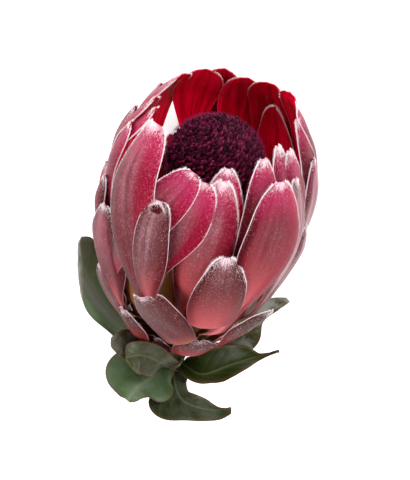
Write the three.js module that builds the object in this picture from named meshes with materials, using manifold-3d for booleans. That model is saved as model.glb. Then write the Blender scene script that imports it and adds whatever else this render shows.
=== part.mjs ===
// A cut protea flower: a goblet of overlapping pink bracts round a dome of dark florets, on a short stem
// with leathery leaves. It lies on its back side, as a cut flower lies on a table.
import * as THREE from "three";
import { mergeVertices } from "three/addons/utils/BufferGeometryUtils.js";
import Module from "manifold-3d";

const wasm = await Module();
wasm.setup();

// Sizes are millimetres and angles are degrees. The flower has a frame of its own: the head's base is at the
// origin, the axis runs along +Z to the tips, and -Y is the front, the side that lies uppermost.
// An azimuth is 0 at the front and grows towards +X.

// The goblet: height above the head's base and radius of the surface on which the rows of bracts stand.
const GOBLET = [
  [-6, 6], [0, 9], [10, 15.5], [25, 23.5], [40, 29.5], [55, 33.5],
  [68, 35.6], [80, 35.6], [92, 33.4], [105, 28.8], [112, 25],
];
const BRACT_THICKNESS = 0.9;
const ROOT_SINK = 4; // how much deeper than the goblet a claw starts, inside the receptacle

// The receptacle: the solid cushion that carries bracts and florets, height and radius.
const RECEPTACLE = [[-4, 6], [0, 8.6], [5, 12], [10, 14.8], [16, 18], [22, 21], [28, 23.4], [32, 24]];
const RECEPTACLE_TOP = 32;

const GAP = 0.3; // between two separate pieces that touch

// The bundle of florets.
const FLORET_CORE = [[33, 13.6], [38, 14], [45, 14.4], [82, 14.6], [90, 13.6], [96, 10.4], [100, 5]];
const FLORET_CORE_TOP = 101;
const DOME_RADIUS = 17.2;
const DOME_START = 90; // height at which the bundle's straight sides turn into the dome
const DOME_HEIGHT = 14;
const DOME_FLORETS = 90;
const SIDE_FLORETS = 36;

const STEM_LENGTH = 38;
const STEM_RADIUS = 5;
const STEM_TOP = -4 - GAP;
const CUT_SLOPE = 0.35; // the slanting cut at the stem's end, rise over run

const LEAF_THICKNESS = 1;

// How the flower lies: the axis rises by the tilt towards the opening, and the head's base sits here in the
// part's frame, so that the origin is at the centre of the resting flower's footprint.
const LYING_TILT = 15;
const HEAD_BASE = new THREE.Vector3(2.17, -37.27, 25.75);

const DARK_PURPLE = { color: 0x2c0f22, roughness: 0.9, metalness: 0 };
const BRACT_PINK = { color: 0xa83a58, roughness: 0.7, metalness: 0 };
const LEAF_GREEN = { color: 0x58634c, roughness: 0.6, metalness: 0 };
const STEM_BROWN = { color: 0x6d5a45, roughness: 0.75, metalness: 0 };

// What a bract has where its own line below says nothing else.
// bend: how its lean grows with height; hook: how far the tip turns in; flare: how far it stands out;
// claw: width of the root as a share of the width; neck: where the claw ends; peak: where it is widest;
// blunt: small for a broad tip, large for a pointed one; cup: radius of its cross curve over its width;
// roll: turn about its own midline that lifts its left edge and tucks in its right one.
const PLAIN_BRACT = {
  bend: 1.3, hook: 2, flare: 0, claw: 0.22, neck: 0.28, peak: 0.68, blunt: 0.62, cup: 0.95, roll: 0,
};

// The bracts of the open front, the rim and the two sides, each with the azimuth of root and tip, the height
// of root and tip, how far its row stands out from the goblet, and its width.
const SHOWN_BRACTS = [
  { at: [-11.5, -52], z: [12, 111.5], out: 6.2, width: 21.8, bend: 1.6, hook: 5, neck: 0.3,
    peak: 0.77, blunt: 0.34, cup: 1.25 },
  { at: [-60, -10], z: [13, 107], out: 2.8, flare: 3.4, width: 15.5, bend: 1.6, peak: 0.8, blunt: 0.42,
    cup: 1.3 },
  { at: [-15, -22.5], z: [36, 96], out: 9, width: 13.5, hook: 2.5, claw: 0.2, neck: 0.2, peak: 0.7,
    blunt: 0.32 },
  { at: [-23, -3], z: [13, 103], out: 2.8, width: 16, bend: 1.75, neck: 0.56, peak: 0.84, blunt: 0.45,
    cup: 1.2 },
  { at: [-3, 9], z: [14, 103], out: 0.5, width: 20, claw: 0.28, neck: 0.3, peak: 0.7 },
  { at: [6, 11], z: [15, 106], out: -1.1, width: 19 },
  { at: [14, 15], z: [32, 81], out: 8.2, width: 19.3, hook: 3, claw: 0.42, neck: 0, peak: 0.54, blunt: 0.48,
    cup: 1.2 },
  { at: [16, 44], z: [13, 104], out: 6, width: 24.5, bend: 1.1, hook: 3, neck: 0.4, claw: 0.2, peak: 0.76,
    blunt: 0.55, cup: 1.2 },
  { at: [30, 36.5], z: [15, 109.5], out: 1, width: 18, roll: 5 },
  { at: [50, 56], z: [15, 110], out: -1.2, width: 14 },
  { at: [62, 64], z: [15, 108], out: 0.4, width: 15 },
  { at: [52, 61], z: [13, 100], out: 2.4, width: 13 },
  { at: [80, 91], z: [15, 97], out: 0, width: 17, hook: 1, flare: 2, roll: -12 },
  { at: [64, 80], z: [13, 73], out: 2.6, width: 16 },
  { at: [88, 97], z: [15, 111], out: 0.4, width: 18, roll: -18, cup: 1.2 },
  { at: [114, 113], z: [15, 115], out: 0.2, width: 20, hook: 2, blunt: 0.36, peak: 0.84, roll: 8, cup: 1.4 },
  { at: [-66, -88], z: [15, 97.5], out: 0.4, width: 18, hook: 1.5, blunt: 0.4, cup: 1.2 },
  { at: [-84, -95], z: [15, 103], out: -1.2, width: 20, hook: 5, blunt: 0.42, roll: -8, cup: 1.4 },
  { at: [-100, -107], z: [15, 103.5], out: 0, width: 18, hook: 4, blunt: 0.42, roll: -8, cup: 1.4 },
  { at: [-126, -132], z: [15, 109], out: 1.2, width: 23, hook: 4.5, claw: 0.35, neck: 0.1, peak: 0.72,
    blunt: 0.36, roll: 8, cup: 1.4 },
  { at: [-166, -157], z: [15, 107.5], out: 0.4, width: 18, neck: 0.5, blunt: 0.3, peak: 0.88, roll: -8,
    cup: 1.4 },
  { at: [-171, -172], z: [15, 107], out: 1.8, width: 18, blunt: 0.4, peak: 0.82, cup: 1.4 },
  { at: [172, 170], z: [15, 105.5], out: 0.8, width: 19, blunt: 0.34, peak: 0.84, roll: 8, cup: 1.4 },
  { at: [148, 146], z: [15, 109.5], out: 1.6, width: 24, hook: 3, blunt: 0.36, peak: 0.84, roll: 5 },
  { at: [136, 142], z: [16, 100], out: -1.4, width: 20 },
  { at: [-44, -59], z: [10, 75], out: 5, width: 17, roll: 15 },
  { at: [-69, -75], z: [13, 79], out: 3.6, width: 15 },
  { at: [-50, -62], z: [9, 43.5], out: 6.8, width: 16, hook: 1, roll: 15 },
  { at: [-36, -42], z: [5, 30], out: 7, width: 14, hook: 1, peak: 0.6, neck: 0, claw: 0.5 },
  { at: [13, -19], z: [19, 57], out: 7.5, width: 16, bend: 1, hook: 1, claw: 0.5, neck: 0, peak: 0.7,
    blunt: 0.22, flare: 3.5 },
  { at: [17, 18], z: [3.5, 24], out: 5.5, width: 17, peak: 0.6, claw: 0.6, neck: 0 },
  { at: [34, 57], z: [6, 42], out: 5, width: 14, hook: 0, flare: 2 },
  { at: [118, 118], z: [13, 97], out: 2, width: 19, roll: 8, cup: 1.3 },
  { at: [-110, -110], z: [13, 95], out: 2.6, width: 19, roll: 8, cup: 1.3 },
  { at: [-99, -99], z: [10, 72], out: 4.4, width: 19, peak: 0.62, neck: 0.25, claw: 0.3, roll: 8, cup: 1.3 },
  { at: [104, 104], z: [10, 64], out: 3.6, width: 19, peak: 0.62, neck: 0.25, claw: 0.3, roll: 8, cup: 1.3 },
  { at: [-84, -84], z: [6, 45], out: 6, width: 17, hook: 1, peak: 0.58, neck: 0, claw: 0.3, roll: 8,
    cup: 1.2 },
];

// The rows of the back side, as azimuth and tip height. They leave the open slit at azimuth -152 free.
const LONG_BACK_ROW = [[179, 99], [-134, 98], [145, 100]];
const SHORT_BACK_ROW = [[160, 74], [-161, 66], [-125, 78], [130, 80]];
const BASAL_BACK_ROW = [[179, 44], [145, 46], [-143, 42], [114, 45], [-114, 45]];
const ROW_SHAPE = {
  long: { low: 13, out: 4.5, width: 19, roll: 8, cup: 1.3 },
  short: { low: 10, out: 6.6, width: 19, peak: 0.62, neck: 0.25, claw: 0.3, roll: 8, cup: 1.3 },
  basal: { low: 6, out: 8.2, width: 17, hook: 1, peak: 0.58, neck: 0, claw: 0.3, roll: 8, cup: 1.2 },
  scale: { low: 0, out: 3.6, width: 10, hook: 0.5, peak: 0.5, neck: 0, claw: 0.6 },
};
const SCALE_COUNT = 7; // small scales where the head meets the stem
const SCALE_TOP = 15;

// The innermost row, low and hidden except through the slits between the claws.
const INNER_COUNT = 10;
const INNER_ROW = { low: 24, high: 72, out: -3.6, width: 19, hook: 1, neck: 0.3, roll: 5 };

// Leaves: midrib points as x, distance to the front and height, the way the lower face looks at the base and
// at the tip, and the half widths on the left and the right of the midrib at shares of its length.
const TOWARDS_BELOW = [0, -0.6, -0.8];
const PLAIN_LEAF = { cup: 0.25, wave: 1, waves: 2.5 };
const LEAVES = [
  { rib: [[-5.4, 0, -13], [-17, 2, -6], [-30, 4, 8], [-40, 4, 24], [-43, 3, 40]], looks: [[-0.87, 0, -0.5]],
    cup: 0.3,
    left: [[0, 3.5], [0.3, 8.5], [0.6, 14], [0.8, 13], [0.92, 9], [1, 2]],
    right: [[0, 3.5], [0.3, 8.5], [0.6, 15.5], [0.75, 14.5], [0.9, 9.8], [1, 2]] },
  { rib: [[2.4, 4.8, -12], [-3, 19.8, 2.5], [-11, 24.4, 9.5], [-17.8, 25.2, 7]],
    looks: [[0, -0.95, -0.35], [0, -0.8, -0.6]],
    left: [[0, 2.5], [0.3, 4.5], [0.6, 6], [0.8, 5.5], [0.92, 4], [1, 1]],
    right: [[0, 2.5], [0.3, 5], [0.6, 7.5], [0.8, 6.5], [0.92, 4], [1, 1]] },
  { rib: [[-3.5, 4.4, -6], [-12, 13, 0], [-18, 19, 7], [-23, 21, 15]],
    looks: [[-0.5, 0, -0.8], [-0.5, -0.6, -0.6]],
    left: [[0, 2.4], [0.5, 5.7], [0.8, 5], [1, 1]], right: [[0, 2.4], [0.5, 5.6], [0.9, 5.4], [1, 2]] },
  { rib: [[-2.1, 4.2, -17], [-7, 15.5, -13.5], [-11, 21.5, -13], [-14, 25, -18]], looks: [TOWARDS_BELOW],
    left: [[0, 4.2], [0.3, 10], [0.6, 15], [0.75, 14.2], [0.9, 9.5], [1, 2]],
    right: [[0, 4.2], [0.15, 6.3], [0.3, 10], [0.42, 10.5], [0.6, 6.8], [0.75, 4.3], [0.9, 3], [1, 1]] },
  { rib: [[1.4, 4.3, -20], [4, 12, -20], [8, 17, -20.5], [17, 20, -19], [27, 20, -16]],
    looks: [TOWARDS_BELOW],
    left: [[0, 4.2], [0.15, 7.5], [0.3, 11.9], [0.42, 12.4], [0.6, 6.8], [0.75, 4.7], [0.9, 3.5], [1, 1.2]],
    right: [[0, 4.2], [0.15, 5], [0.3, 3.9], [0.45, 4], [0.6, 4.3], [0.75, 3.7], [0.88, 1], [1, 1]] },
  { rib: [[4.2, 3.4, -14.8], [12.4, 12.4, -8.2], [22, 16, 4.5], [31, 16, 12.5], [39, 14, 16]],
    looks: [TOWARDS_BELOW],
    left: [[0, 3.4], [0.15, 3.6], [0.3, 3.7], [0.45, 4.9], [0.6, 3.5], [0.75, 1.8], [0.9, 0.6], [1, 0.3]],
    right: [[0, 3.4], [0.15, 5.2], [0.3, 7.8], [0.45, 8.2], [0.6, 6.9], [0.7, 4.5], [0.77, 0.9], [1, 0.3]] },
  { rib: [[5.8, 0, -7.8], [17.5, 6.8, 1.5], [24.5, 7, 11], [30, 3.5, 20], [38.5, -0.5, 29.5]],
    looks: [[0.2, -0.6, -0.8], [0.4, -0.6, -0.6]],
    left: [[0, 2.4], [0.3, 4.6], [0.5, 6], [0.62, 5], [0.75, 1.5], [0.9, 1], [1, 0.3]],
    right: [[0, 2.4], [0.3, 3.4], [0.6, 4.6], [0.8, 5], [0.9, 3.8], [1, 0.5]] },
  { rib: [[3.4, -4.2, -14], [12, -14, -9], [22, -22.6, 2], [30, -28.4, 15]], looks: [[0.5, -0.8, -0.3]],
    cup: 0.15,
    left: [[0, 2.5], [0.3, 6.8], [0.55, 10], [0.8, 8.5], [0.93, 5], [1, 1]] },
  { rib: [[-3.2, -4, -14], [-12, -14, -9], [-23, -22.2, 2], [-31, -27.8, 15]], looks: [[-0.5, -0.8, -0.3]],
    cup: 0.15,
    left: [[0, 2.5], [0.3, 6.8], [0.55, 10], [0.8, 8.5], [0.93, 5], [1, 1]] },
];

const radians = THREE.MathUtils.degToRad;

function smoothstep(from, to, x) {
  const t = Math.min(1, Math.max(0, (x - from) / (to - from)));
  return t * t * (3 - 2 * t);
}

// A smooth curve through points given as [x, y], held level beyond its ends.
function through(points, x) {
  const last = points.length - 1;
  if (x <= points[0][0]) return points[0][1];
  if (x >= points[last][0]) return points[last][1];
  let i = 0;
  while (x > points[i + 1][0]) i += 1;
  const slope = (j) => {
    const a = points[Math.max(0, j - 1)];
    const b = points[Math.min(last, j + 1)];
    return (b[1] - a[1]) / (b[0] - a[0]);
  };
  const span = points[i + 1][0] - points[i][0];
  const t = (x - points[i][0]) / span;
  return (2 * t ** 3 - 3 * t ** 2 + 1) * points[i][1] + (t ** 3 - 2 * t ** 2 + t) * span * slope(i)
    + (3 * t ** 2 - 2 * t ** 3) * points[i + 1][1] + (t ** 3 - t ** 2) * span * slope(i + 1);
}

// Repeatable random numbers from 0 to 1.
function seeded(seed) {
  let state = seed;
  return () => {
    state = (state * 1664525 + 1013904223) % 4294967296;
    return state / 4294967296;
  };
}

function geometryOf(positions, index) {
  const geometry = new THREE.BufferGeometry();
  geometry.setAttribute("position", new THREE.Float32BufferAttribute(positions, 3));
  geometry.setIndex(index);
  return geometry;
}

// Share of a bract's full width at t, from its root (0) to its tip (1).
function outline(shape, t) {
  const rise = shape.claw + (1 - shape.claw) * smoothstep(shape.neck, shape.peak, t);
  if (t <= shape.peak) return rise;
  const q = (t - shape.peak) / (1 - shape.peak);
  return rise * Math.max(0, 1 - q ** 2.2) ** shape.blunt;
}

// A closed blade from a function of t (root to tip) and u (-1 to 1 across) that gives its middle surface.
// Both faces are split alike, so that they never cross.
function blade(surface, rows, columns, thickness) {
  const positions = [];
  const index = [];
  const tipRow = 0.985;
  const step = 1e-3;
  for (const side of [1, -1]) {
    for (let i = 0; i <= rows; i += 1) {
      const t = tipRow * (1 - (1 - i / rows) ** 1.25);
      for (let j = 0; j <= columns; j += 1) {
        const u = -1 + (2 * j) / columns;
        const p = surface(t, u);
        const along = surface(t + step, u).sub(surface(Math.max(0, t - step), u));
        const across = surface(t, u + step).sub(surface(t, u - step));
        const normal = along.cross(across).normalize();
        p.addScaledVector(normal, (side * thickness) / 2);
        positions.push(p.x, p.y, p.z);
      }
    }
  }
  const at = (side, i, j) => side * (rows + 1) * (columns + 1) + i * (columns + 1) + j;
  const quad = (a, b, c, d) => index.push(a, b, c, a, c, d);
  for (let i = 0; i < rows; i += 1) {
    for (let j = 0; j < columns; j += 1) {
      quad(at(0, i, j), at(0, i + 1, j), at(0, i + 1, j + 1), at(0, i, j + 1));
      index.push(at(1, i, j), at(1, i + 1, j + 1), at(1, i + 1, j));
      index.push(at(1, i, j), at(1, i, j + 1), at(1, i + 1, j + 1));
    }
    quad(at(0, i, 0), at(1, i, 0), at(1, i + 1, 0), at(0, i + 1, 0));
    quad(at(0, i + 1, columns), at(1, i + 1, columns), at(1, i, columns), at(0, i, columns));
  }
  for (let j = 0; j < columns; j += 1) {
    quad(at(0, 0, j + 1), at(1, 0, j + 1), at(1, 0, j), at(0, 0, j));
    quad(at(0, rows, j), at(1, rows, j), at(1, rows, j + 1), at(0, rows, j + 1));
  }
  return geometryOf(positions, index);
}

function manifoldOf(geometry) {
  let bare = geometry.clone();
  bare.deleteAttribute("normal");
  bare.deleteAttribute("uv");
  bare = mergeVertices(bare, 1e-5);
  const mesh = new wasm.Mesh({
    numProp: 3,
    vertProperties: new Float32Array(bare.attributes.position.array),
    triVerts: new Uint32Array(bare.index.array),
  });
  mesh.merge();
  const solid = new wasm.Manifold(mesh);
  return solid.volume() < 0 ? turnedOut(bare) : solid;
}

// The same solid with every triangle's direction changed.
function turnedOut(geometry) {
  const index = Array.from(geometry.index.array);
  for (let i = 0; i < index.length; i += 3) {
    [index[i + 1], index[i + 2]] = [index[i + 2], index[i + 1]];
  }
  return new wasm.Manifold(new wasm.Mesh({
    numProp: 3,
    vertProperties: new Float32Array(geometry.attributes.position.array),
    triVerts: new Uint32Array(index),
  }));
}

// Pieces grown together as one: the largest body of the union, with no sealed hollow and no loose scrap.
function fused(solids) {
  const parts = wasm.Manifold.union(solids).decompose();
  return parts.reduce((best, part) => (part.volume() > best.volume() ? part : best));
}

function geometryFrom(solid) {
  const mesh = solid.getMesh();
  const geometry = geometryOf(Array.from(mesh.vertProperties), Array.from(mesh.triVerts));
  geometry.computeVertexNormals();
  return geometry;
}

// A solid turned about the flower's axis from [height, radius] points.
function turned(profile, low, high, segments) {
  const points = [new THREE.Vector2(0, low)];
  for (const [z, r] of profile) points.push(new THREE.Vector2(r, z));
  points.push(new THREE.Vector2(0, high));
  return new THREE.LatheGeometry(points, segments).rotateX(Math.PI / 2);
}

function bractSurface(bract) {
  const b = { ...PLAIN_BRACT, ...bract };
  const middle = (t) => {
    const z = b.z[0] + (b.z[1] - b.z[0]) * t;
    const azimuth = radians(b.at[0] + (b.at[1] - b.at[0]) * Math.max(0, t) ** b.bend);
    const radius = through(GOBLET, z) + b.out * smoothstep(0, 0.3, t) + b.flare * t * t
      - b.hook * smoothstep(0.82, 1.02, t) - ROOT_SINK * (1 - smoothstep(0, 0.3, t));
    return new THREE.Vector3(radius * Math.sin(azimuth), -radius * Math.cos(azimuth), z);
  };
  return (t, u) => {
    const step = 1e-3;
    const centre = middle(t);
    const along = middle(t + step).sub(middle(Math.max(0, t - step))).normalize();
    const outwards = new THREE.Vector3(centre.x, centre.y, 0).normalize();
    const normal = outwards.addScaledVector(along, -outwards.dot(along)).normalize();
    const across = new THREE.Vector3().crossVectors(along, normal);
    const roll = radians(b.roll) * smoothstep(0.1, 0.5, t);
    const tilted = normal.clone().multiplyScalar(Math.cos(roll)).addScaledVector(across, Math.sin(roll));
    across.multiplyScalar(Math.cos(roll)).addScaledVector(normal, -Math.sin(roll));
    const half = (b.width / 2) * outline(b, t);
    const crossRadius = b.cup * b.width * (1 - 0.4 * smoothstep(0.75, 1, t));
    const angle = (u * half) / crossRadius;
    return centre
      .addScaledVector(across, crossRadius * Math.sin(angle))
      .addScaledVector(tilted, -crossRadius * (1 - Math.cos(angle)));
  };
}

// Rows and columns of faces for a bract: long ones bend more, and hidden ones need few.
function bractSolid(bract, columns) {
  const length = bract.z[1] - bract.z[0];
  const rows = Math.max(3, Math.round(length / 18));
  return manifoldOf(blade(bractSurface(bract), rows, columns, BRACT_THICKNESS));
}

function backRow(row, shape) {
  const { low, ...rest } = shape;
  return row.map(([azimuth, high]) => ({ ...rest, at: [azimuth, azimuth], z: [low, high] }));
}

function innerRow() {
  const random = seeded(7);
  const { low, high, ...rest } = INNER_ROW;
  return Array.from({ length: INNER_COUNT }, (_, i) => {
    const azimuth = -180 + (360 * i) / INNER_COUNT + 8 * (random() - 0.5);
    return { ...rest, at: [azimuth - 4, azimuth], z: [low, high + 8 * (random() - 0.5)] };
  });
}

function scaleRow() {
  return Array.from({ length: SCALE_COUNT }, (_, i) => [30 + (360 * i) / SCALE_COUNT, SCALE_TOP]);
}

function makeBracts() {
  const backRows = [
    ...backRow(LONG_BACK_ROW, ROW_SHAPE.long),
    ...backRow(SHORT_BACK_ROW, ROW_SHAPE.short),
    ...backRow(BASAL_BACK_ROW, ROW_SHAPE.basal),
    ...backRow(scaleRow(), ROW_SHAPE.scale),
  ];
  const receptacle = manifoldOf(turned(RECEPTACLE, RECEPTACLE[0][0], RECEPTACLE_TOP, 24));
  const solids = [receptacle];
  for (const bract of SHOWN_BRACTS) solids.push(bractSolid(bract, 4));
  for (const bract of backRows) solids.push(bractSolid(bract, 3));
  for (const bract of innerRow()) solids.push(bractSolid(bract, 2));
  return fused(solids);
}

// One floret: a slim four-sided club from its root to a pointed tip.
function floret(root, tip, radius) {
  const along = tip.clone().sub(root);
  const side = new THREE.Vector3(-along.y, along.x, 0.01).normalize().multiplyScalar(radius);
  const other = new THREE.Vector3().crossVectors(along, side).normalize().multiplyScalar(radius);
  const positions = [];
  for (const [share, size] of [[0, 0.6], [0.78, 1]]) {
    for (const [a, b] of [[1, 0], [0, 1], [-1, 0], [0, -1]]) {
      const p = root.clone().addScaledVector(along, share)
        .addScaledVector(side, a * size).addScaledVector(other, b * size);
      positions.push(p.x, p.y, p.z);
    }
  }
  positions.push(tip.x, tip.y, tip.z);
  const index = [0, 2, 1, 0, 3, 2];
  for (let j = 0; j < 4; j += 1) {
    const next = (j + 1) % 4;
    index.push(j, next, 4 + next, j, 4 + next, 4 + j, 4 + j, 4 + next, 8);
  }
  return manifoldOf(geometryOf(positions, index));
}

function makeFlorets() {
  const random = seeded(11);
  const goldenAngle = Math.PI * (3 - Math.sqrt(5));
  const solids = [manifoldOf(turned(FLORET_CORE, RECEPTACLE_TOP + GAP, FLORET_CORE_TOP, 24))];
  const round = (radius, angle, z) => (
    new THREE.Vector3(radius * Math.sin(angle), -radius * Math.cos(angle), z)
  );
  for (let i = 0; i < DOME_FLORETS; i += 1) {
    const reach = Math.sqrt((i + 0.5) / DOME_FLORETS);
    const angle = i * goldenAngle;
    const top = DOME_START + DOME_HEIGHT * Math.sqrt(1 - 0.97 * reach * reach);
    const tip = round(DOME_RADIUS * reach, angle, top - 1.2 * random());
    const root = round(DOME_RADIUS * reach * 0.72, angle, top - 9.5 + 2 * reach);
    solids.push(floret(root, tip, 1.15));
  }
  for (let i = 0; i < SIDE_FLORETS; i += 1) {
    const angle = i * goldenAngle;
    const high = 60 + (26 * i) / SIDE_FLORETS + 2 * random();
    solids.push(floret(round(12.6, angle, high - 22), round(DOME_RADIUS - 0.3, angle, high), 1.5));
  }
  return fused(solids);
}

// The stem: slightly swollen where leaves join it, cut off slanting at the bottom.
function makeStem() {
  const rings = 9;
  const profile = [];
  for (let i = 0; i <= rings; i += 1) {
    const z = -STEM_LENGTH + ((STEM_LENGTH + STEM_TOP) * i) / rings;
    const swell = 0.25 * Math.sin(i * 2.1) + 0.6 * smoothstep(-16, STEM_TOP, z);
    profile.push([z, STEM_RADIUS - 0.6 + swell]);
  }
  const geometry = turned(profile, -STEM_LENGTH, STEM_TOP, 16);
  const position = geometry.attributes.position;
  for (let i = 0; i < position.count; i += 1) {
    if (position.getZ(i) < -STEM_LENGTH + 0.1) position.setZ(i, -STEM_LENGTH + CUT_SLOPE * position.getX(i));
  }
  return manifoldOf(geometry);
}

function leafSurface(leaf, order) {
  const shape = { ...PLAIN_LEAF, ...leaf };
  const place = ([x, front, z]) => new THREE.Vector3(x, -front, z);
  const rib = new THREE.CatmullRomCurve3(shape.rib.map(place), false, "catmullrom", 0.5);
  const first = place(shape.looks[0]);
  const last = place(shape.looks[shape.looks.length - 1]);
  return (t, u) => {
    const s = Math.min(1, Math.max(0, t));
    const along = rib.getTangent(s);
    const looks = first.clone().lerp(last, s);
    const normal = looks.addScaledVector(along, -looks.dot(along)).normalize();
    const across = new THREE.Vector3().crossVectors(along, normal);
    const half = through(u < 0 ? shape.left : shape.right ?? shape.left, s);
    const phase = order + (u < 0 ? 2.1 : 0);
    const lift = shape.cup * Math.abs(u) ** 1.6 * half
      + shape.wave * u * u * Math.sin(2 * Math.PI * shape.waves * s + phase);
    return rib.getPoint(s).addScaledVector(across, u * half).addScaledVector(normal, -lift);
  };
}

function makeLeaf(leaf, order) {
  return manifoldOf(blade(leafSurface(leaf, order), 9, 4, LEAF_THICKNESS));
}

// The lying flower in the part's frame, and the surface under it, which presses small flat spots.
const flower = new THREE.Group();
flower.rotation.x = -radians(90 - LYING_TILT);
flower.position.copy(HEAD_BASE);
flower.updateMatrixWorld(true);

function pressedFlat(solid) {
  const under = new THREE.BoxGeometry(300, 300, 40).translate(0, 0, -20);
  under.applyMatrix4(flower.matrixWorld.clone().invert());
  return solid.subtract(manifoldOf(under));
}

function addPiece(name, solid, finish) {
  const mesh = new THREE.Mesh(geometryFrom(pressedFlat(solid)), new THREE.MeshStandardMaterial(finish));
  mesh.name = name;
  flower.add(mesh);
}

addPiece("bracts", makeBracts(), BRACT_PINK);
addPiece("florets", makeFlorets(), DARK_PURPLE);
addPiece("stem", makeStem(), STEM_BROWN);
LEAVES.forEach((leaf, i) => addPiece(`leaf_${i + 1}`, makeLeaf(leaf, i), LEAF_GREEN));

const protea = new THREE.Group();
protea.add(flower);
export default protea;
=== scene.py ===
"""The looks of a cut protea flower that lies on its back side.

Sizes in the flower's own frame are millimetres: the head's base is the origin, the axis runs along +z to the
tips, and -y is the front, the side that lies uppermost. An azimuth is 0 at the front and grows towards +x.
Along a blade, t grows from its root (0) to its tip (1). Across it, u grows from its left margin (-1) to
its right one (1).
"""
import math
from types import SimpleNamespace

import bpy
import numpy as np
from mathutils import Matrix, Vector


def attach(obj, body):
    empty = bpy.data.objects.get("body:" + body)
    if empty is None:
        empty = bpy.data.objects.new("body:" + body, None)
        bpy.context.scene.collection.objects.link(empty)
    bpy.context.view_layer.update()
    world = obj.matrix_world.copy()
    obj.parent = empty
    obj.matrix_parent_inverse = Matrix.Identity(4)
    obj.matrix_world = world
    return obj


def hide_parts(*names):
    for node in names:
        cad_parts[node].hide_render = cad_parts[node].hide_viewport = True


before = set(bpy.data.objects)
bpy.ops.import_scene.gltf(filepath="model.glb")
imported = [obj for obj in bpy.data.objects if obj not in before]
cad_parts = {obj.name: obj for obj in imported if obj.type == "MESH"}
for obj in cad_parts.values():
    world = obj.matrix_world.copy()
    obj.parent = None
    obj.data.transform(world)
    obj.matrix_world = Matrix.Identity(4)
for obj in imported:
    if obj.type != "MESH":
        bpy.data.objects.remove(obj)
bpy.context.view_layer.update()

MM_PER_METRE = 1000
GOLDEN_ANGLE = math.pi * (3 - math.sqrt(5))

# How the flower lies, as in the model of its solids.
LYING_TILT = math.radians(15)
HEAD_BASE = np.array([2.17, -37.27, 25.75])
FLOOR_CLEARANCE = 0.02
TILT_COS, TILT_SIN = math.cos(LYING_TILT), math.sin(LYING_TILT)
TURN = np.array([[1, 0, 0], [0, TILT_SIN, TILT_COS], [0, -TILT_COS, TILT_SIN]])

# Heights and radii of the goblet on which the rows of bracts stand, and of the solid cushion that carries
# them. ROOT_SINK is how much deeper than the goblet a bract's root starts.
GOBLET = [(-6, 6), (0, 9), (10, 15.5), (25, 23.5), (40, 29.5), (55, 33.5),
          (68, 35.6), (80, 35.6), (92, 33.4), (105, 28.8), (112, 25)]
RECEPTACLE = [(-4, 0), (-4, 6), (0, 8.6), (5, 12), (10, 14.8), (16, 18), (22, 21), (28, 23.4), (32, 24),
              (32, 0)]
ROOT_SINK = 4

# A bract's form. at: azimuth of root and tip; z: height of root and tip; out: distance from the goblet;
# bend: how its lean grows with height; hook: how far the tip turns in; flare: how far it stands out;
# claw: width of the root as a share of the width; neck: where the claw ends; peak: where it is widest;
# blunt: small for a broad tip, large for a pointed one; cup: radius of its cross curve over its width;
# pouch: how much tighter that curve is at the tip; roll: turn about its midline in degrees; hood: how far
# the margins roll in at the tip; dent: depth of the hollow below the tip.
# Its looks. down: how much grey down covers the outer face, and how strong the painted sheen on it is;
# magenta: how strong the painted light is in the bright band along the right margin and in the pink
# towards the tip, and how pink its claw is; coral: how far the warm colour and the painted highlight on
# the claw climb; dark: how brown the outer face is; silver: how grey-white its middle is; rim: how white
# its margin and tuft are; beard: length of the tip's hairs; fringe: how dense the margin's hairs are.
PLAIN_BRACT = dict(
    bend=1.3, hook=2, flare=0, claw=0.22, neck=0.28, peak=0.68, blunt=0.62, cup=0.95, pouch=0.4, roll=0,
    hood=0.5, dent=0, down=0.5, magenta=0.5, coral=0.4, dark=0, silver=0, rim=1, beard=1.6, fringe=1)
LEFT_REAR = dict(blunt=0.42, roll=-8, cup=1.4, down=0.03, magenta=0.95, fringe=0.6)
FAR_SIDE = dict(rim=0.12, fringe=0.3)
LONG_BACK = dict(width=19, roll=8, cup=1.3)
SHORT_BACK = dict(width=19, peak=0.62, neck=0.25, claw=0.3, roll=8, cup=1.3, down=0.7)
BASAL_BACK = dict(width=17, hook=1, peak=0.58, neck=0, claw=0.3, roll=8, cup=1.2, down=0.8, magenta=0,
                  coral=0.7)
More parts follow.
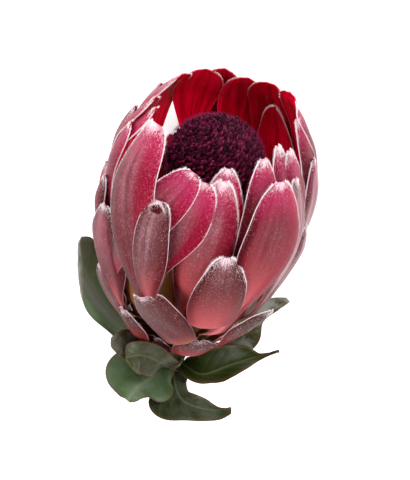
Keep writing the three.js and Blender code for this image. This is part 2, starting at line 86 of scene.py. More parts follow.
SHOWN_BRACTS = [
    dict(at=(-11.5, -52), z=(12, 111.5), out=6.2, width=21.8, bend=1.6, hook=5, neck=0.3, peak=0.77,
         blunt=0.34, cup=1.25, hood=0.4, down=0.75, magenta=1, coral=0.3, beard=3),
    dict(at=(-60, -10), z=(13, 107), out=2.8, flare=3.4, width=15.5, bend=1.6, peak=0.8, blunt=0.42,
         cup=1.3, pouch=0.1, hood=0, down=0.45, magenta=0.9, coral=0.3, rim=0.9),
    dict(at=(-15, -22.5), z=(36, 96), out=9, width=13.5, hook=2.5, neck=0.2, claw=0.2, peak=0.7,
         blunt=0.32, pouch=0.2, hood=0.3, dent=0.8, down=1, magenta=0, coral=0.55, dark=0.4, silver=0.1),
    dict(at=(-23, -3), z=(13, 103), out=2.8, width=16, bend=1.75, neck=0.56, peak=0.84, blunt=0.45,
         cup=1.2, pouch=0.2, hood=0.2, magenta=1, coral=0.5, beard=2.2),
    dict(at=(-3, 9), z=(14, 103), out=0.5, width=20, neck=0.3, claw=0.28, peak=0.7, down=0.85,
         magenta=0.8, coral=0.75, dark=0.1, beard=3.4),
    dict(at=(6, 11), z=(15, 106), out=-1.1, width=19, down=0.3, magenta=0.8, coral=0.3, beard=2.2),
    dict(at=(14, 15), z=(32, 81), out=8.2, width=19.3, hook=3, neck=0, claw=0.42, peak=0.54, blunt=0.48,
         cup=1.2, pouch=0.2, hood=0.4, down=0.8, magenta=0, coral=0.75, dark=0.5, beard=3),
    dict(at=(16, 44), z=(13, 104), out=6, width=24.5, bend=1.1, hook=3, neck=0.4, claw=0.2, peak=0.76,
         blunt=0.55, cup=1.2, down=0.35, magenta=0.8, coral=0.7, beard=2.4),
    dict(at=(30, 36.5), z=(15, 109.5), out=1, width=18, roll=5, down=0.35, magenta=0.7, coral=0.3,
         beard=2.2),
    dict(at=(50, 56), z=(15, 110), out=-1.2, width=14, magenta=0.4, beard=2.4),
    dict(at=(62, 64), z=(15, 108), out=0.4, width=15, down=0.6, magenta=0.4, beard=2.2),
    dict(at=(52, 61), z=(13, 100), out=2.4, width=13, down=0.9, magenta=0.1, silver=0.7, beard=2),
    dict(at=(80, 91), z=(15, 97), out=0, width=17, hook=1, flare=2, roll=-12, down=0.9, magenta=0.2,
         silver=0.6),
    dict(at=(64, 80), z=(13, 73), out=2.6, width=16, down=1, magenta=0, silver=0.7),
    dict(at=(88, 97), z=(15, 111), out=0.4, width=18, cup=1.2, roll=-18, magenta=0.6, beard=2.4),
    dict(at=(114, 113), z=(15, 115), out=0.2, width=20, peak=0.84, blunt=0.36, cup=1.4, roll=8, down=0.6),
    dict(at=(-66, -88), z=(15, 97.5), out=0.4, width=18, hook=1.5, blunt=0.4, cup=1.2, magenta=0.4,
         fringe=0.6),
    dict(at=(-84, -95), z=(15, 103), out=-1.2, width=20, hook=5, **LEFT_REAR),
    dict(at=(-100, -107), z=(15, 103.5), out=0, width=18, hook=4, **LEFT_REAR),
    dict(at=(-126, -132), z=(15, 109), out=1.2, width=23, hook=4.5, neck=0.1, claw=0.35, peak=0.72,
         blunt=0.36, cup=1.4, roll=8, down=0.04, magenta=0.95, beard=2.2, fringe=0.6),
    dict(at=(-166, -157), z=(15, 107.5), out=0.4, width=18, neck=0.5, peak=0.88, blunt=0.3, cup=1.4,
         roll=-8, **FAR_SIDE),
    dict(at=(-171, -172), z=(15, 107), out=1.8, width=18, peak=0.82, blunt=0.4, cup=1.4, **FAR_SIDE),
    dict(at=(172, 170), z=(15, 105.5), out=0.8, width=19, peak=0.84, blunt=0.34, cup=1.4, roll=8,
         **FAR_SIDE),
    dict(at=(148, 146), z=(15, 109.5), out=1.6, width=24, hook=3, peak=0.84, blunt=0.36, roll=5,
         **FAR_SIDE),
    dict(at=(136, 142), z=(16, 100), out=-1.4, width=20, rim=0.8, beard=2, fringe=1.6),
    dict(at=(-44, -59), z=(10, 75), out=5, width=17, roll=15, down=1, magenta=0, beard=2.2),
    dict(at=(-69, -75), z=(13, 79), out=3.6, width=15, down=0.8, magenta=0),
    dict(at=(-50, -62), z=(9, 43.5), out=6.8, width=16, hook=1, roll=15, down=0.8, magenta=0, dark=0.8,
         silver=0.3),
    dict(at=(-36, -42), z=(5, 30), out=7, width=14, hook=1, neck=0, claw=0.5, peak=0.6, down=0.6,
         magenta=0, coral=0.9, dark=0.8),
    dict(at=(13, -19), z=(19, 57), out=7.5, flare=3.5, width=16, bend=1, hook=1, neck=0, claw=0.5,
         peak=0.7, blunt=0.22, down=0.8, magenta=0, coral=0.3, dark=0.65, rim=0.8, beard=1.4),
    dict(at=(17, 18), z=(3.5, 24), out=5.5, width=17, neck=0, claw=0.6, peak=0.6, down=0.9, magenta=0,
         coral=0.9, dark=0.7, rim=0.5, beard=1),
    dict(at=(34, 57), z=(6, 42), out=5, flare=2, width=14, hook=0, down=0.8, magenta=0, coral=0.9,
         dark=1),
    dict(at=(118, 118), z=(13, 97), out=2, down=0.6, magenta=0.2, **LONG_BACK),
    dict(at=(-110, -110), z=(13, 95), out=2.6, down=0.6, magenta=0.2, **LONG_BACK),
    dict(at=(-99, -99), z=(10, 72), out=4.4, **SHORT_BACK),
    dict(at=(104, 104), z=(10, 64), out=3.6, **SHORT_BACK),
    dict(at=(-84, -84), z=(6, 45), out=6, **BASAL_BACK),
]

# The rows of the hidden back: azimuth and height of each tip, height of the roots, and what the row shares.
SCALES = 7
SCALE_TOP = 15
BACK_ROWS = [
    ([(179, 99), (-134, 98), (145, 100)], 13, dict(out=4.5, magenta=0.4, **LONG_BACK)),
    ([(160, 74), (-161, 66), (-125, 78), (130, 80)], 10, dict(out=6.6, magenta=0.2, **SHORT_BACK)),
    ([(179, 44), (145, 46), (-143, 42), (114, 45), (-114, 45)], 6, dict(out=8.2, dark=0.2, **BASAL_BACK)),
    ([(30 + 360 * i / SCALES, SCALE_TOP) for i in range(SCALES)], 0,
     dict(out=3.6, width=10, hook=0.5, neck=0, claw=0.6, peak=0.5, down=0.7, magenta=0, coral=0.9, dark=0.4,
          beard=0.8)),
]

# The inner row stands round the florets.
INNER_COUNT = 10
INNER_Z = (24, 72)
INNER_SHAPE = dict(out=-3.6, width=19, hook=1, neck=0.3, roll=5, down=0.3)

# Narrow claws close the gaps between the roots of the front bracts.
CLAW_AZIMUTHS = range(-76, 84, 13)
CLAW_Z = (8, 74)
CLAWS_PINK_WITHIN = 55  # degrees from the front; beyond, every claw is olive
CLAW_SHAPE = dict(flare=-6, width=11, hook=0, neck=0, claw=0.6, peak=0.45, blunt=0.3, down=0.1, coral=0.7,
                  rim=0)

# A bract's surface. The ribs and the fold are low waves on it.
BRACT_THICKNESS = 0.9
BRACT_MARGIN = 0.34  # thickness at the margin
RIB_HEIGHT = 0.035
FOLD_HEIGHT = 0.16
DENT_FROM_TIP = 2.6
DENT_LENGTH = 2.2
DENT_WIDTH = 0.4  # as a share of half the blade

# Rows and columns of the grids of front, back and inner bracts.
FRONT_GRID = (46, 18)
BACK_GRID = (26, 12)
INNER_GRID = (22, 10)

# How many hairs a bract gets: fringes for each millimetre of margin, front tufts for each millimetre of
# beard, back tufts in all, and down for a face that is fully covered.
FRONT_FRINGE, BACK_FRINGE = 8, 2.5
CROWN_HAIRS, BEARD_HAIRS, BACK_BEARD_HAIRS = 290, 220, 120
DOWN_HAIRS = 1100

# Lengths are stored in a mesh as shares of these, in millimetres.
EDGE_UNIT = 10
TIP_UNIT = 20
BEARD_UNIT = 4


def smoothstep(low, high, x):
    t = np.clip((x - low) / (high - low), 0, 1)
    return t * t * (3 - 2 * t)


def through(points, x):
    """A smooth curve through (x, y) points, held level beyond its ends."""
    px, py = np.array(points, float).T
    x = np.clip(x, px[0], px[-1])
    i = np.clip(np.searchsorted(px, x, side="right") - 1, 0, len(px) - 2)
    before = np.maximum(np.arange(len(px)) - 1, 0)
    after = np.minimum(np.arange(len(px)) + 1, len(px) - 1)
    slope = (py[after] - py[before]) / (px[after] - px[before])
    span = px[i + 1] - px[i]
    t = (x - px[i]) / span
    return ((2 * t**3 - 3 * t**2 + 1) * py[i] + (t**3 - 2 * t**2 + t) * span * slope[i]
            + (3 * t**2 - 2 * t**3) * py[i + 1] + (t**3 - t**2) * span * slope[i + 1])


def unit(v):
    return v / np.maximum(np.linalg.norm(v, axis=-1, keepdims=True), 1e-9)


def part_of(v, direction):
    """The part of v that runs along a unit direction."""
    return direction * np.sum(v * direction, axis=-1, keepdims=True)


def around(radius, azimuth, z):
    """Points at this distance from the flower's axis."""
    return np.stack([radius * np.sin(azimuth), -radius * np.cos(azimuth), z + 0 * azimuth], axis=-1)


def to_world(points):
    """Flower-frame millimetres to metres in the part's frame."""
    lying = points @ TURN.T + HEAD_BASE
    lying[..., 2] = np.maximum(lying[..., 2], FLOOR_CLEARANCE)
    return lying / MM_PER_METRE


class Bract:
    """A bract's middle surface."""

    def __init__(self, **shape):
        self.shape = {**PLAIN_BRACT, **shape}
        self.length = self.shape["z"][1] - self.shape["z"][0]

    def middle(self, t):
        b = self.shape
        z = b["z"][0] + self.length * t
        azimuth = np.radians(b["at"][0] + (b["at"][1] - b["at"][0]) * np.maximum(0, t) ** b["bend"])
        rooted = smoothstep(0, 0.3, t)
        radius = (through(GOBLET, z) + b["out"] * rooted + b["flare"] * t * t
                  - b["hook"] * smoothstep(0.82, 1.02, t) - ROOT_SINK * (1 - rooted))
        return around(radius, azimuth, z)

    def half(self, t):
        """Half the width at t."""
        b = self.shape
        rise = b["claw"] + (1 - b["claw"]) * smoothstep(b["neck"], b["peak"], t)
        past_peak = np.clip((t - b["peak"]) / (1 - b["peak"]), 0, 1)
        return b["width"] / 2 * rise * np.maximum(0, 1 - past_peak**2.2) ** b["blunt"]

    def axes(self, t):
        """Middle point, direction to the tip, direction to the right margin and outward normal at t."""
        step = 1e-3
        centre = self.middle(t)
        along = unit(self.middle(t + step) - self.middle(np.maximum(0, t - step)))
        outwards = unit(centre * [1, 1, 0])
        normal = unit(outwards - part_of(outwards, along))
        across = np.cross(along, normal)
        roll = (math.radians(self.shape["roll"]) * smoothstep(0.1, 0.5, t))[..., None]
        tilted = normal * np.cos(roll) + across * np.sin(roll)
        across = across * np.cos(roll) - normal * np.sin(roll)
        return centre, along, across, tilted

    def point(self, t, u):
        b = self.shape
        centre, _, across, normal = self.axes(t)
        curve = b["cup"] * b["width"] * (1 - b["pouch"] * smoothstep(0.75, 1, t))
        angle = u * self.half(t) / curve
        hood = b["hood"] * smoothstep(0.7, 1, t) * np.abs(u) ** 3
        fold = FOLD_HEIGHT * np.sin(5 * u + 9 * t) * smoothstep(0.2, 0.6, t) * (1 - u * u)
        from_dent = ((1 - t) * self.length - DENT_FROM_TIP) / DENT_LENGTH
        hollow = b["dent"] * np.exp(-from_dent**2 - (u / DENT_WIDTH) ** 2)
        aside = curve * np.sin(angle)
        lift = fold - hood - hollow - curve * (1 - np.cos(angle))
        return centre + across * aside[..., None] + normal * lift[..., None]


def inner_row():
    random = np.random.default_rng(7)
    for i in range(INNER_COUNT):
        azimuth = -180 + 360 * i / INNER_COUNT
        top = INNER_Z[1] + random.uniform(-4, 4)
        yield Bract(at=(azimuth - 4, azimuth), z=(INNER_Z[0], top), **INNER_SHAPE)


def claw_row():
    """Claws, pink and olive in turn near the front."""
    random = np.random.default_rng(11)
    for i, azimuth in enumerate(CLAW_AZIMUTHS):
        olive = 1 if abs(azimuth) > CLAWS_PINK_WITHIN else i % 2
        height = (CLAW_Z[0] + random.uniform(-1, 1), CLAW_Z[1] + random.uniform(-3, 3))
        yield Bract(at=(azimuth - 2, azimuth), z=height, out=0.8 + 0.9 * olive, magenta=1 - olive,
                    **CLAW_SHAPE)


class Shell:
    """Vertices, faces and per-vertex layers of four numbers, gathered for one piece."""

    def __init__(self):
        self.points = []
        self.faces = {3: [], 4: []}
        self.layers = {}
        self.count = 0

    def add(self, points, *face_groups, **layers):
        """Faces number these points from 0. A layer has four numbers for each point, or four for all."""
        for name, values in layers.items():
            self.layers.setdefault(name, []).append(np.broadcast_to(values, (len(points), 4)))
        for faces in face_groups:
            self.faces[faces.shape[1]].append(faces + self.count)
        self.points.append(points)
        self.count += len(points)

    def make(self, name, material, node_slot, smooth=True, replaced=()):
        points = to_world(np.concatenate(self.points))
        groups = [np.concatenate(f) for f in self.faces.values() if f]
        loops = np.concatenate([g.ravel() for g in groups])
        sizes = np.concatenate([np.full(len(g), g.shape[1]) for g in groups])
        starts = np.concatenate([[0], np.cumsum(sizes)[:-1]])
        mesh = bpy.data.meshes.new(name)
        mesh.vertices.add(len(points))
        mesh.vertices.foreach_set("co", points.astype(np.float32).ravel())
        mesh.loops.add(len(loops))
        mesh.loops.foreach_set("vertex_index", loops.astype(np.int32))
        mesh.polygons.add(len(sizes))
        mesh.polygons.foreach_set("loop_start", starts.astype(np.int32))
        mesh.polygons.foreach_set("loop_total", sizes.astype(np.int32))
        mesh.polygons.foreach_set("use_smooth", np.full(len(sizes), smooth))
        mesh.update(calc_edges=True)
        for layer, values in self.layers.items():
            attribute = mesh.attributes.new(layer, "FLOAT_COLOR", "POINT")
            attribute.data.foreach_set("color", np.concatenate(values).astype(np.float32).ravel())
        mesh.validate()
        mesh.materials.append(material)
        piece = bpy.data.objects.new(name, mesh)
        bpy.context.scene.collection.objects.link(piece)
        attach(piece, "root")
        if replaced:
            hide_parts(*replaced)


def grid_faces(rows, columns):
    """Quads of a grid whose points are numbered row by row."""
    i, j = np.meshgrid(np.arange(rows), np.arange(columns), indexing="ij")
    a = (i * (columns + 1) + j).ravel()
    return np.stack([a, a + 1, a + columns + 2, a + columns + 1], axis=1)


def rim_faces(rows, columns):
    """Quads that join the two faces of a blade round its whole outline."""
    number = np.arange((rows + 1) * (columns + 1)).reshape(rows + 1, columns + 1)
    loop = np.concatenate([number[:-1, 0], number[-1, :-1], number[:0:-1, -1], number[0, :0:-1]])
    after = np.roll(loop, -1)
    return np.stack([loop, loop + number.size, after + number.size, after], axis=1)


def tube_faces(rows, segments):
    """Quads between the rings of a tube, whose points are numbered ring by ring."""
    i, j = np.meshgrid(np.arange(rows), np.arange(segments), indexing="ij")
    after = (j + 1) % segments
    quads = [i * segments + j, i * segments + after, (i + 1) * segments + after, (i + 1) * segments + j]
    return np.stack(quads, axis=-1).reshape(-1, 4)


def blade_grid(rows, columns, tip_row):
    """Values of t and u for a blade's grid, closer together towards its tip and its margins."""
    t = tip_row * (1 - (1 - np.arange(rows + 1) / rows) ** 1.35)
    u = np.sin(np.linspace(-1, 1, columns + 1) * math.pi / 2)
    return np.meshgrid(t, u, indexing="ij")


def add_blade(shell, t, u, middle, half_thickness, relief, edge, **layers):
    """A blade's outer and inner face on either side of its middle surface, and the rim that joins them.

    Relief lifts both faces outwards. Edge is the distance to the margin.
    """
    rows, columns = t.shape[0] - 1, t.shape[1] - 1
    normals = unit(np.cross(np.gradient(middle, axis=1), np.gradient(middle, axis=0)))
    faces = [middle + normals * (side * half_thickness + relief)[..., None] for side in (1, -1)]
    places = [np.stack([t, (u + 1) / 2, edge / EDGE_UNIT, np.full_like(t, outer)], axis=-1)
              for outer in (1, 0)]
    quads = grid_faces(rows, columns)
    shell.add(np.concatenate(faces).reshape(-1, 3), quads, quads[:, ::-1] + t.size, rim_faces(rows, columns),
              place=np.concatenate(places).reshape(-1, 4), **layers)


def add_bract(shell, bract, grid, random):
    b = bract.shape
    t, u = blade_grid(*grid, tip_row=0.998)
    to_tip = (1 - t) * bract.length
    edge = np.minimum((1 - np.abs(u)) * bract.half(t), to_tip)
    thickness = BRACT_MARGIN + (BRACT_THICKNESS - BRACT_MARGIN) * smoothstep(0, 4, edge)
    ribs = RIB_HEIGHT * np.cos(u * 26 + 2 * np.sin(7 * t)) * smoothstep(0.5, 3, edge)
    more = np.tile([0.0, b["dark"], b["rim"], b["silver"]], (2 * t.size, 1))
    more[:, 0] = np.tile(to_tip.ravel() / TIP_UNIT, 2)
    add_blade(shell, t, u, bract.point(t, u), thickness / 2, ribs, edge,
              tone=[b["down"], b["magenta"], b["coral"], random.random()], more=more,
              hollow=[b["dent"], b["beard"] / BEARD_UNIT, 0, 1])


def lathe(profile, segments):
    """A closed solid turned about the flower's axis. Its (height, radius) points start and end on it."""
    z, radius = np.array(profile, float).T
    angle = np.linspace(0, 2 * math.pi, segments, endpoint=False)
    points = around(radius[:, None], angle, z[:, None])
    return points.reshape(-1, 3), tube_faces(len(z) - 1, segments)


def add_hairs(shell, roots, directions, lengths, radius):
    """Three-sided closed needles, each from its root along its direction."""
    directions = unit(directions)
    side = unit(np.cross(directions, [0.31, 0.52, 0.8]))
    other = np.cross(directions, side)
    count = len(roots)
    radius = np.broadcast_to(radius, (count,))[:, None]
    corners = [roots + radius * (math.cos(a) * side + math.sin(a) * other) for a in (0.5, 2.6, 4.7)]
    tips = roots + directions * np.broadcast_to(lengths, (count,))[:, None]
    points = np.stack(corners + [tips], axis=1).reshape(-1, 3)
    base = 4 * np.arange(count)[:, None]
    shell.add(points, np.concatenate([base + f for f in ([0, 1, 3], [1, 2, 3], [2, 0, 3], [0, 2, 1])]))


def grow(shell, bract, t, u, lift, lean, lengths, radius):
    """Hairs on a bract, lifted off its middle. Lean: how far they point along it, across it and out."""
    _, along, across, normal = bract.axes(t)
    roots = bract.point(t, u) + normal * lift
    add_hairs(shell, roots, along * lean[0] + across * lean[1] + normal * lean[2], lengths, radius)


def beside_margin(count, inset, power, random):
    """Places across a blade that crowd to its left and right margin."""
    return np.where(random.random(count) < 0.5, -1.0, 1.0) * (1 - inset * random.random(count) ** power)


def margin_fringe(shell, bract, per_mm, random, from_t=0.42):
    """Fine hairs that stand out from a bract's margins, longer towards the tip."""
    count = int(2 * bract.length * (1 - from_t) * per_mm * bract.shape["fringe"])
    t = from_t + (0.99 - from_t) * (1 - (1 - random.random(count)) ** 2.2)
    u = beside_margin(count, 0.05, 1, random)
    near = smoothstep(0.86, 1, t)
    spread = random.normal(size=(3, count, 1))
    lean = (0.7 + 0.9 * near[:, None] + 0.3 * spread[1],
            np.sign(u)[:, None] * (1.1 - 0.8 * near[:, None] + 0.35 * spread[0]), 0.5 * spread[2])
    grown = smoothstep(from_t - 0.1, 0.85, t)
    lengths = (0.18 + 0.4 * random.random(count)) * (0.3 + 0.6 * grown) * (1 + 1.3 * near)
    grow(shell, bract, t, u, 0, lean, lengths, 0.015 + 0.007 * grown + 0.014 * near)


def tip_crown(shell, bract, count, random):
    """A thick white fringe along the margin of a bract's tip."""
    t = np.minimum(1 - 0.3 * random.random(count) ** 1.7, 0.996)
    u = beside_margin(count, 0.12, 2, random)
    near = smoothstep(0.7, 0.99, t)
    spread = random.normal(size=(3, count, 1))
    lean = (0.5 + near[:, None] + 0.4 * spread[1], np.sign(u)[:, None] * (0.8 + 0.4 * spread[0]),
            0.4 * spread[2])
    lengths = bract.shape["beard"] * (0.15 + 0.25 * random.random(count)) * (0.35 + 0.65 * near)
    grow(shell, bract, t, u, 0.15, lean, lengths, 0.028 + 0.016 * near)


def tip_beard(shell, bract, count, random):
    """The white tuft on the outer face of a bract's tip."""
    beard = bract.shape["beard"]
    away = np.abs(random.normal(size=count))
    t = 0.992 - beard * 1.2 / bract.length * away
    u = np.clip(random.normal(size=count) * 0.7, -1, 1)
    spread = random.normal(size=(3, count, 1))
    lean = (1 + 0.3 * spread[0], 0.45 * spread[1], 0.25 + 0.4 * spread[2])
    lengths = beard * (0.25 + 0.35 * random.random(count)) * np.exp(-0.5 * away)
    grow(shell, bract, t, u, 0.3, lean, lengths, 0.04)


def face_down(shell, bract, count, random):
    """Short hairs that lie along a bract's outer face."""
    t = 0.5 + 0.47 * random.random(count) ** 0.7
    u = random.uniform(-0.9, 0.9, count)
    spread = random.normal(size=(2, count, 1))
    lean = (1, 0.35 * spread[0], 0.5 + 0.3 * np.abs(spread[1]))
    grow(shell, bract, t, u, 0.38, lean, 0.14 + 0.2 * random.random(count), 0.026)


class Value:
    """A number, colour or vector in a material. Arithmetic with it adds the nodes that work it out."""

    def __init__(self, nodes, socket):
        self.nodes = nodes
        self.socket = socket

    def __add__(self, other):
        return self.nodes.math("ADD", self, other)

    def __sub__(self, other):
        return self.nodes.math("SUBTRACT", self, other)

    def __rsub__(self, other):
        return self.nodes.math("SUBTRACT", other, self)

    def __mul__(self, other):
        return self.nodes.math("MULTIPLY", self, other)

    def __abs__(self):
        return self.nodes.math("ABSOLUTE", self)

    def clamped(self):
        """This result of arithmetic, kept between 0 and 1."""
        self.socket.node.use_clamp = True
        return self

    def ramp(self, low, high, to_low=0.0, to_high=1.0):
        """A smooth step from to_low to to_high as this value goes from low to high."""
        node = self.nodes.new("MapRange")
        node.interpolation_type = "SMOOTHSTEP"
        for socket, value in zip(node.inputs, (self, low, high, to_low, to_high)):
            self.nodes.feed(socket, value)
        return Value(self.nodes, node.outputs[0])


class Nodes:
    """A material's nodes and its shader."""

    def __init__(self, name):
        self.material = bpy.data.materials.new(name)
        self.material.use_nodes = True
        self.tree = self.material.node_tree
        self.tree.nodes.clear()
        self.shader = self.new("BsdfPrincipled")
        self.tree.links.new(self.shader.outputs[0], self.new("OutputMaterial").inputs["Surface"])

    def new(self, kind):
        return self.tree.nodes.new("ShaderNode" + kind)

    def feed(self, socket, value):
        if isinstance(value, Value):
            self.tree.links.new(value.socket, socket)
        else:
            socket.default_value = value

    def finish(self, base_color, **values):
        """The material, with this colour and these values for the shader's other inputs."""
        self.feed(self.shader.inputs["Base Color"], base_color)
        for name, value in values.items():
            self.feed(self.shader.inputs[name.replace("_", " ")], value)
        return self.material

    def layer(self, name):
        """The four numbers of a mesh layer."""
        node = self.new("Attribute")
        node.attribute_name = name
        split = self.new("SeparateColor")
        self.tree.links.new(node.outputs["Color"], split.inputs[0])
        return [Value(self, socket) for socket in (*split.outputs, node.outputs["Alpha"])]

    def math(self, operation, a, b=0.0):
        node = self.new("Math")
        node.operation = operation
        self.feed(node.inputs[0], a)
        self.feed(node.inputs[1], b)
        return Value(self, node.outputs[0])

    def mix(self, share, a, b):
        """A colour that goes from a to b as share goes from 0 to 1."""
        node = self.new("Mix")
        node.data_type = "RGBA"
        self.feed(node.inputs[0], share)
        self.feed(node.inputs[6], a)
        self.feed(node.inputs[7], b)
        return Value(self, node.outputs[2])

    def vector(self, x, y, z):
        node = self.new("CombineXYZ")
        for socket, value in zip(node.inputs, (x, y, z)):
            self.feed(socket, value)
        return Value(self, node.outputs[0])

    def stretched(self, vector, factors):
        node = self.new("VectorMath")
        node.operation = "MULTIPLY"
        self.feed(node.inputs[0], vector)
        node.inputs[1].default_value = factors
        return Value(self, node.outputs[0])

    def place(self):
        """Position in millimetres, fixed to the object."""
        return self.stretched(Value(self, self.new("TexCoord").outputs["Object"]), (MM_PER_METRE,) * 3)

    def noise(self, where, scale, detail=2.0, roughness=0.5):
        node = self.new("TexNoise")
        self.feed(node.inputs["Vector"], where)
        node.inputs["Scale"].default_value = scale
        node.inputs["Detail"].default_value = detail
        node.inputs["Roughness"].default_value = roughness
        return Value(self, node.outputs[0])

    def bump(self, height, distance, strength):
        """A normal for height in units of distance millimetres."""
        node = self.new("Bump")
        node.inputs["Strength"].default_value = strength
        node.inputs["Distance"].default_value = distance / MM_PER_METRE
        self.feed(node.inputs["Height"], height)
        return Value(self, node.outputs[0])


def colour(red, green, blue):
    """A colour given as it looks on a screen, 0 to 255, as the linear numbers that a shader takes."""
    def linear(c):
        c /= 255
        return c / 12.92 if c <= 0.04045 else ((c + 0.055) / 1.055) ** 2.4
    return (linear(red), linear(green), linear(blue), 1.0)


def palette(**colours):
    return SimpleNamespace(**{name: colour(*rgb) for name, rgb in colours.items()})


# Skin colours; the brightest coral is a painted highlight on the claw.
SKIN = palette(
    crimson=(88, 8, 22), rose=(110, 30, 40), warm=(160, 36, 40), glow=(232, 108, 114), olive=(128, 100, 36),
    root=(110, 66, 44), olive_claw=(118, 88, 30), pink_claw=(168, 66, 72))
# Down colours; the lower and the higher one also carry the painted sheen, the higher being lighter.
DOWN = palette(
    low=(106, 58, 62), high=(152, 90, 102), brown=(68, 46, 40), frost=(226, 184, 194), silver=(138, 96, 102),
    white=(196, 168, 174))
# Margin colours: crimson with painted shade, a right band of painted light, pink painted light at the tip.
MARGIN = palette(left=(70, 0, 12), right=(122, 0, 42), band=(132, 0, 38), pink=(186, 40, 92),
                 rim=(255, 234, 242))
# Tip colours; the darkest is painted shade in the dented hollow.
TIP = palette(grain=(240, 200, 214), tuft=(255, 204, 224), lips=(214, 180, 184), mouth=(66, 4, 14))
# Inside colours are raised by painted light shining through the bract, brightest in the light folds.
INSIDE = palette(dark=(196, 0, 22), light=(255, 0, 58), fibre=(255, 40, 84), base=(96, 60, 40))
HAIR = palette(dull=(250, 236, 240), bright=(255, 252, 252), sheen=(255, 200, 210))
FLORET = palette(dark=(20, 0, 5), light=(80, 0, 30), deep=(16, 0, 6), tip=(142, 38, 84),
                 dark_hair=(44, 0, 20), light_hair=(144, 48, 96))
# Leaf colours; the light green is painted light, the dark green beside it painted shade at the margin, the
# pale waxy one also a painted sheen.
LEAF = palette(
    grey=(92, 86, 62), green=(34, 44, 6), mottle=(28, 36, 8), light=(172, 226, 156), light_edge=(66, 92, 52),
    bloom=(206, 214, 210), vein=(132, 128, 92), margin=(104, 66, 50))
STEM = palette(dark=(88, 62, 48), light=(132, 112, 84), green=(112, 116, 74), pith=(206, 192, 150),
               pith_line=(176, 152, 104))
FLOOR = palette(dark=(240, 240, 240), light=(246, 246, 246))


def bract_values(n):
    """What the material reads from a bract's mesh, and its patterns. Edge and tip are distances in mm."""
    v = SimpleNamespace()
    v.along, v.across, edge, v.outer = n.layer("place")
    v.down, v.magenta, v.coral, seed = n.layer("tone")
    to_tip, v.dark, v.rim, v.silver = n.layer("more")
    v.dent, v.tuft, _, _ = n.layer("hollow")
    v.edge = edge * EDGE_UNIT
    v.tip = to_tip * TIP_UNIT
    v.off_middle = abs(v.across - 0.45)
    shift = seed * 37
    v.streaks = n.noise(n.vector(v.across * 9, v.along * 2.2, shift), 1.0, 3.0, 0.55)
    v.fibres = n.noise(n.vector(v.across * 70, v.along * 8, shift), 1.0)
    where = n.place()
    v.patches = n.noise(where, 0.14)
    v.speckle = n.noise(where, 3.2, 2.0, 0.6)
    v.frost = n.noise(where, 1.5, 4.0, 0.75)
    return v


def bare_skin(n, v):
    """The outer skin under the down: olive and coral at the claw, with a painted highlight along its
    middle, and rose above.
    """
    skin = n.mix(v.streaks.ramp(0.35, 0.65), SKIN.crimson, SKIN.rose)
    warm = v.along.ramp(0.12, v.coral + 0.2, 1.0, 0.0)
    skin = n.mix(warm * 0.85, skin, SKIN.warm)
    # A painted highlight along the middle of the claw.
    glow = v.along.ramp(0.08, 0.2) * v.along.ramp(0.24, v.coral + 0.16, 1.0, 0.0)
    glow = glow * v.off_middle.ramp(0.1, 0.45, 1.0, 0.0)
    skin = n.mix((glow * (0.95 - v.dark * 0.9)).clamped(), skin, SKIN.glow)
    olive_top = n.math("MAXIMUM", 0.3, 0.75 - v.coral)
    olive = v.along.ramp(0.02, 0.1) * v.along.ramp(0.15, olive_top, 1.0, 0.0)
    skin = n.mix(olive * v.streaks.ramp(0.35, 0.6, 0.2, 0.8), skin, SKIN.olive)
    skin = n.mix(v.along.ramp(0.0, 0.08, 0.8, 0.0), skin, SKIN.root)
    hidden_claw = v.rim.ramp(0.0, 0.2, 1.0, 0.0)
    return n.mix(hidden_claw * 0.85, skin, n.mix(v.magenta, SKIN.olive_claw, SKIN.pink_claw))


def add_down_and_sheen(n, v, skin):
    """Grey down along the middle carrying a painted sheen that is lighter towards the tip, and brown and
    silver where a bract has them. Gives colour and the mask of down and painted sheen.
    """
    # Down and a painted sheen share this band along the middle, strongest high up the bract.
    band = v.off_middle.ramp(0.06, 0.4, 1.0, 0.1)
    thick = v.patches * 0.6 + v.streaks * 0.7
    down_and_sheen = band * thick.ramp(0.45, 0.85, 0.3, 1.0) * v.down
    down_and_sheen = (down_and_sheen * v.along.ramp(0.25, 0.75, 0.3, 1.0)).clamped()
    # The down's colour, lighter towards the tip where the painted highlight on it is strongest.
    skin = n.mix(down_and_sheen * 0.8, skin, n.mix(v.along.ramp(0.55, 0.9), DOWN.low, DOWN.high))
    skin = n.mix(v.dark * v.along.ramp(0.3, 0.9, 0.15, 1.0), skin, DOWN.brown)
    skin = n.mix(v.frost.ramp(0.52, 0.7, 0.0, 0.55) * down_and_sheen, skin, DOWN.frost)
    silvery = v.silver * band * v.along.ramp(0.2, 0.6)
    return n.mix(silvery, skin, n.mix(v.streaks.ramp(0.4, 0.6), DOWN.silver, DOWN.white)), down_and_sheen


def add_margins(n, v, skin):
    """Crimson near the margins, partly their colour and partly painted shade where they curve away,
    darker on the left; a band of painted light along the right margin; and painted light in the pink
    towards the tip.
    """
    upper = v.along.ramp(0.2, 0.55, 0.2, 1.0) * v.rim.ramp(0.0, 0.2)
    # Crimson near the margins: the bract's colour with painted shade where they curve away.
    near_margin = v.edge.ramp(0.8, 3.6, 1.0, 0.0) * upper
    margin_colour = n.mix(v.across.ramp(0.4, 0.65) * v.magenta, MARGIN.left, MARGIN.right)
    skin = n.mix(near_margin * (0.95 - v.dark * 0.5), skin, margin_colour)
    # A band of painted light along the right margin, shining through the bract.
    painted_light_band = v.across.ramp(0.5, 0.8) * v.magenta * upper
    skin = n.mix(painted_light_band * 0.85, skin, MARGIN.band)
    # Pink towards the tip, painted light shining through the thin tip.
    pink = v.tip.ramp(2.0, 14.0, 0.55, 0.0) * v.magenta.ramp(0.0, 0.5)
    return n.mix(pink, skin, MARGIN.pink)


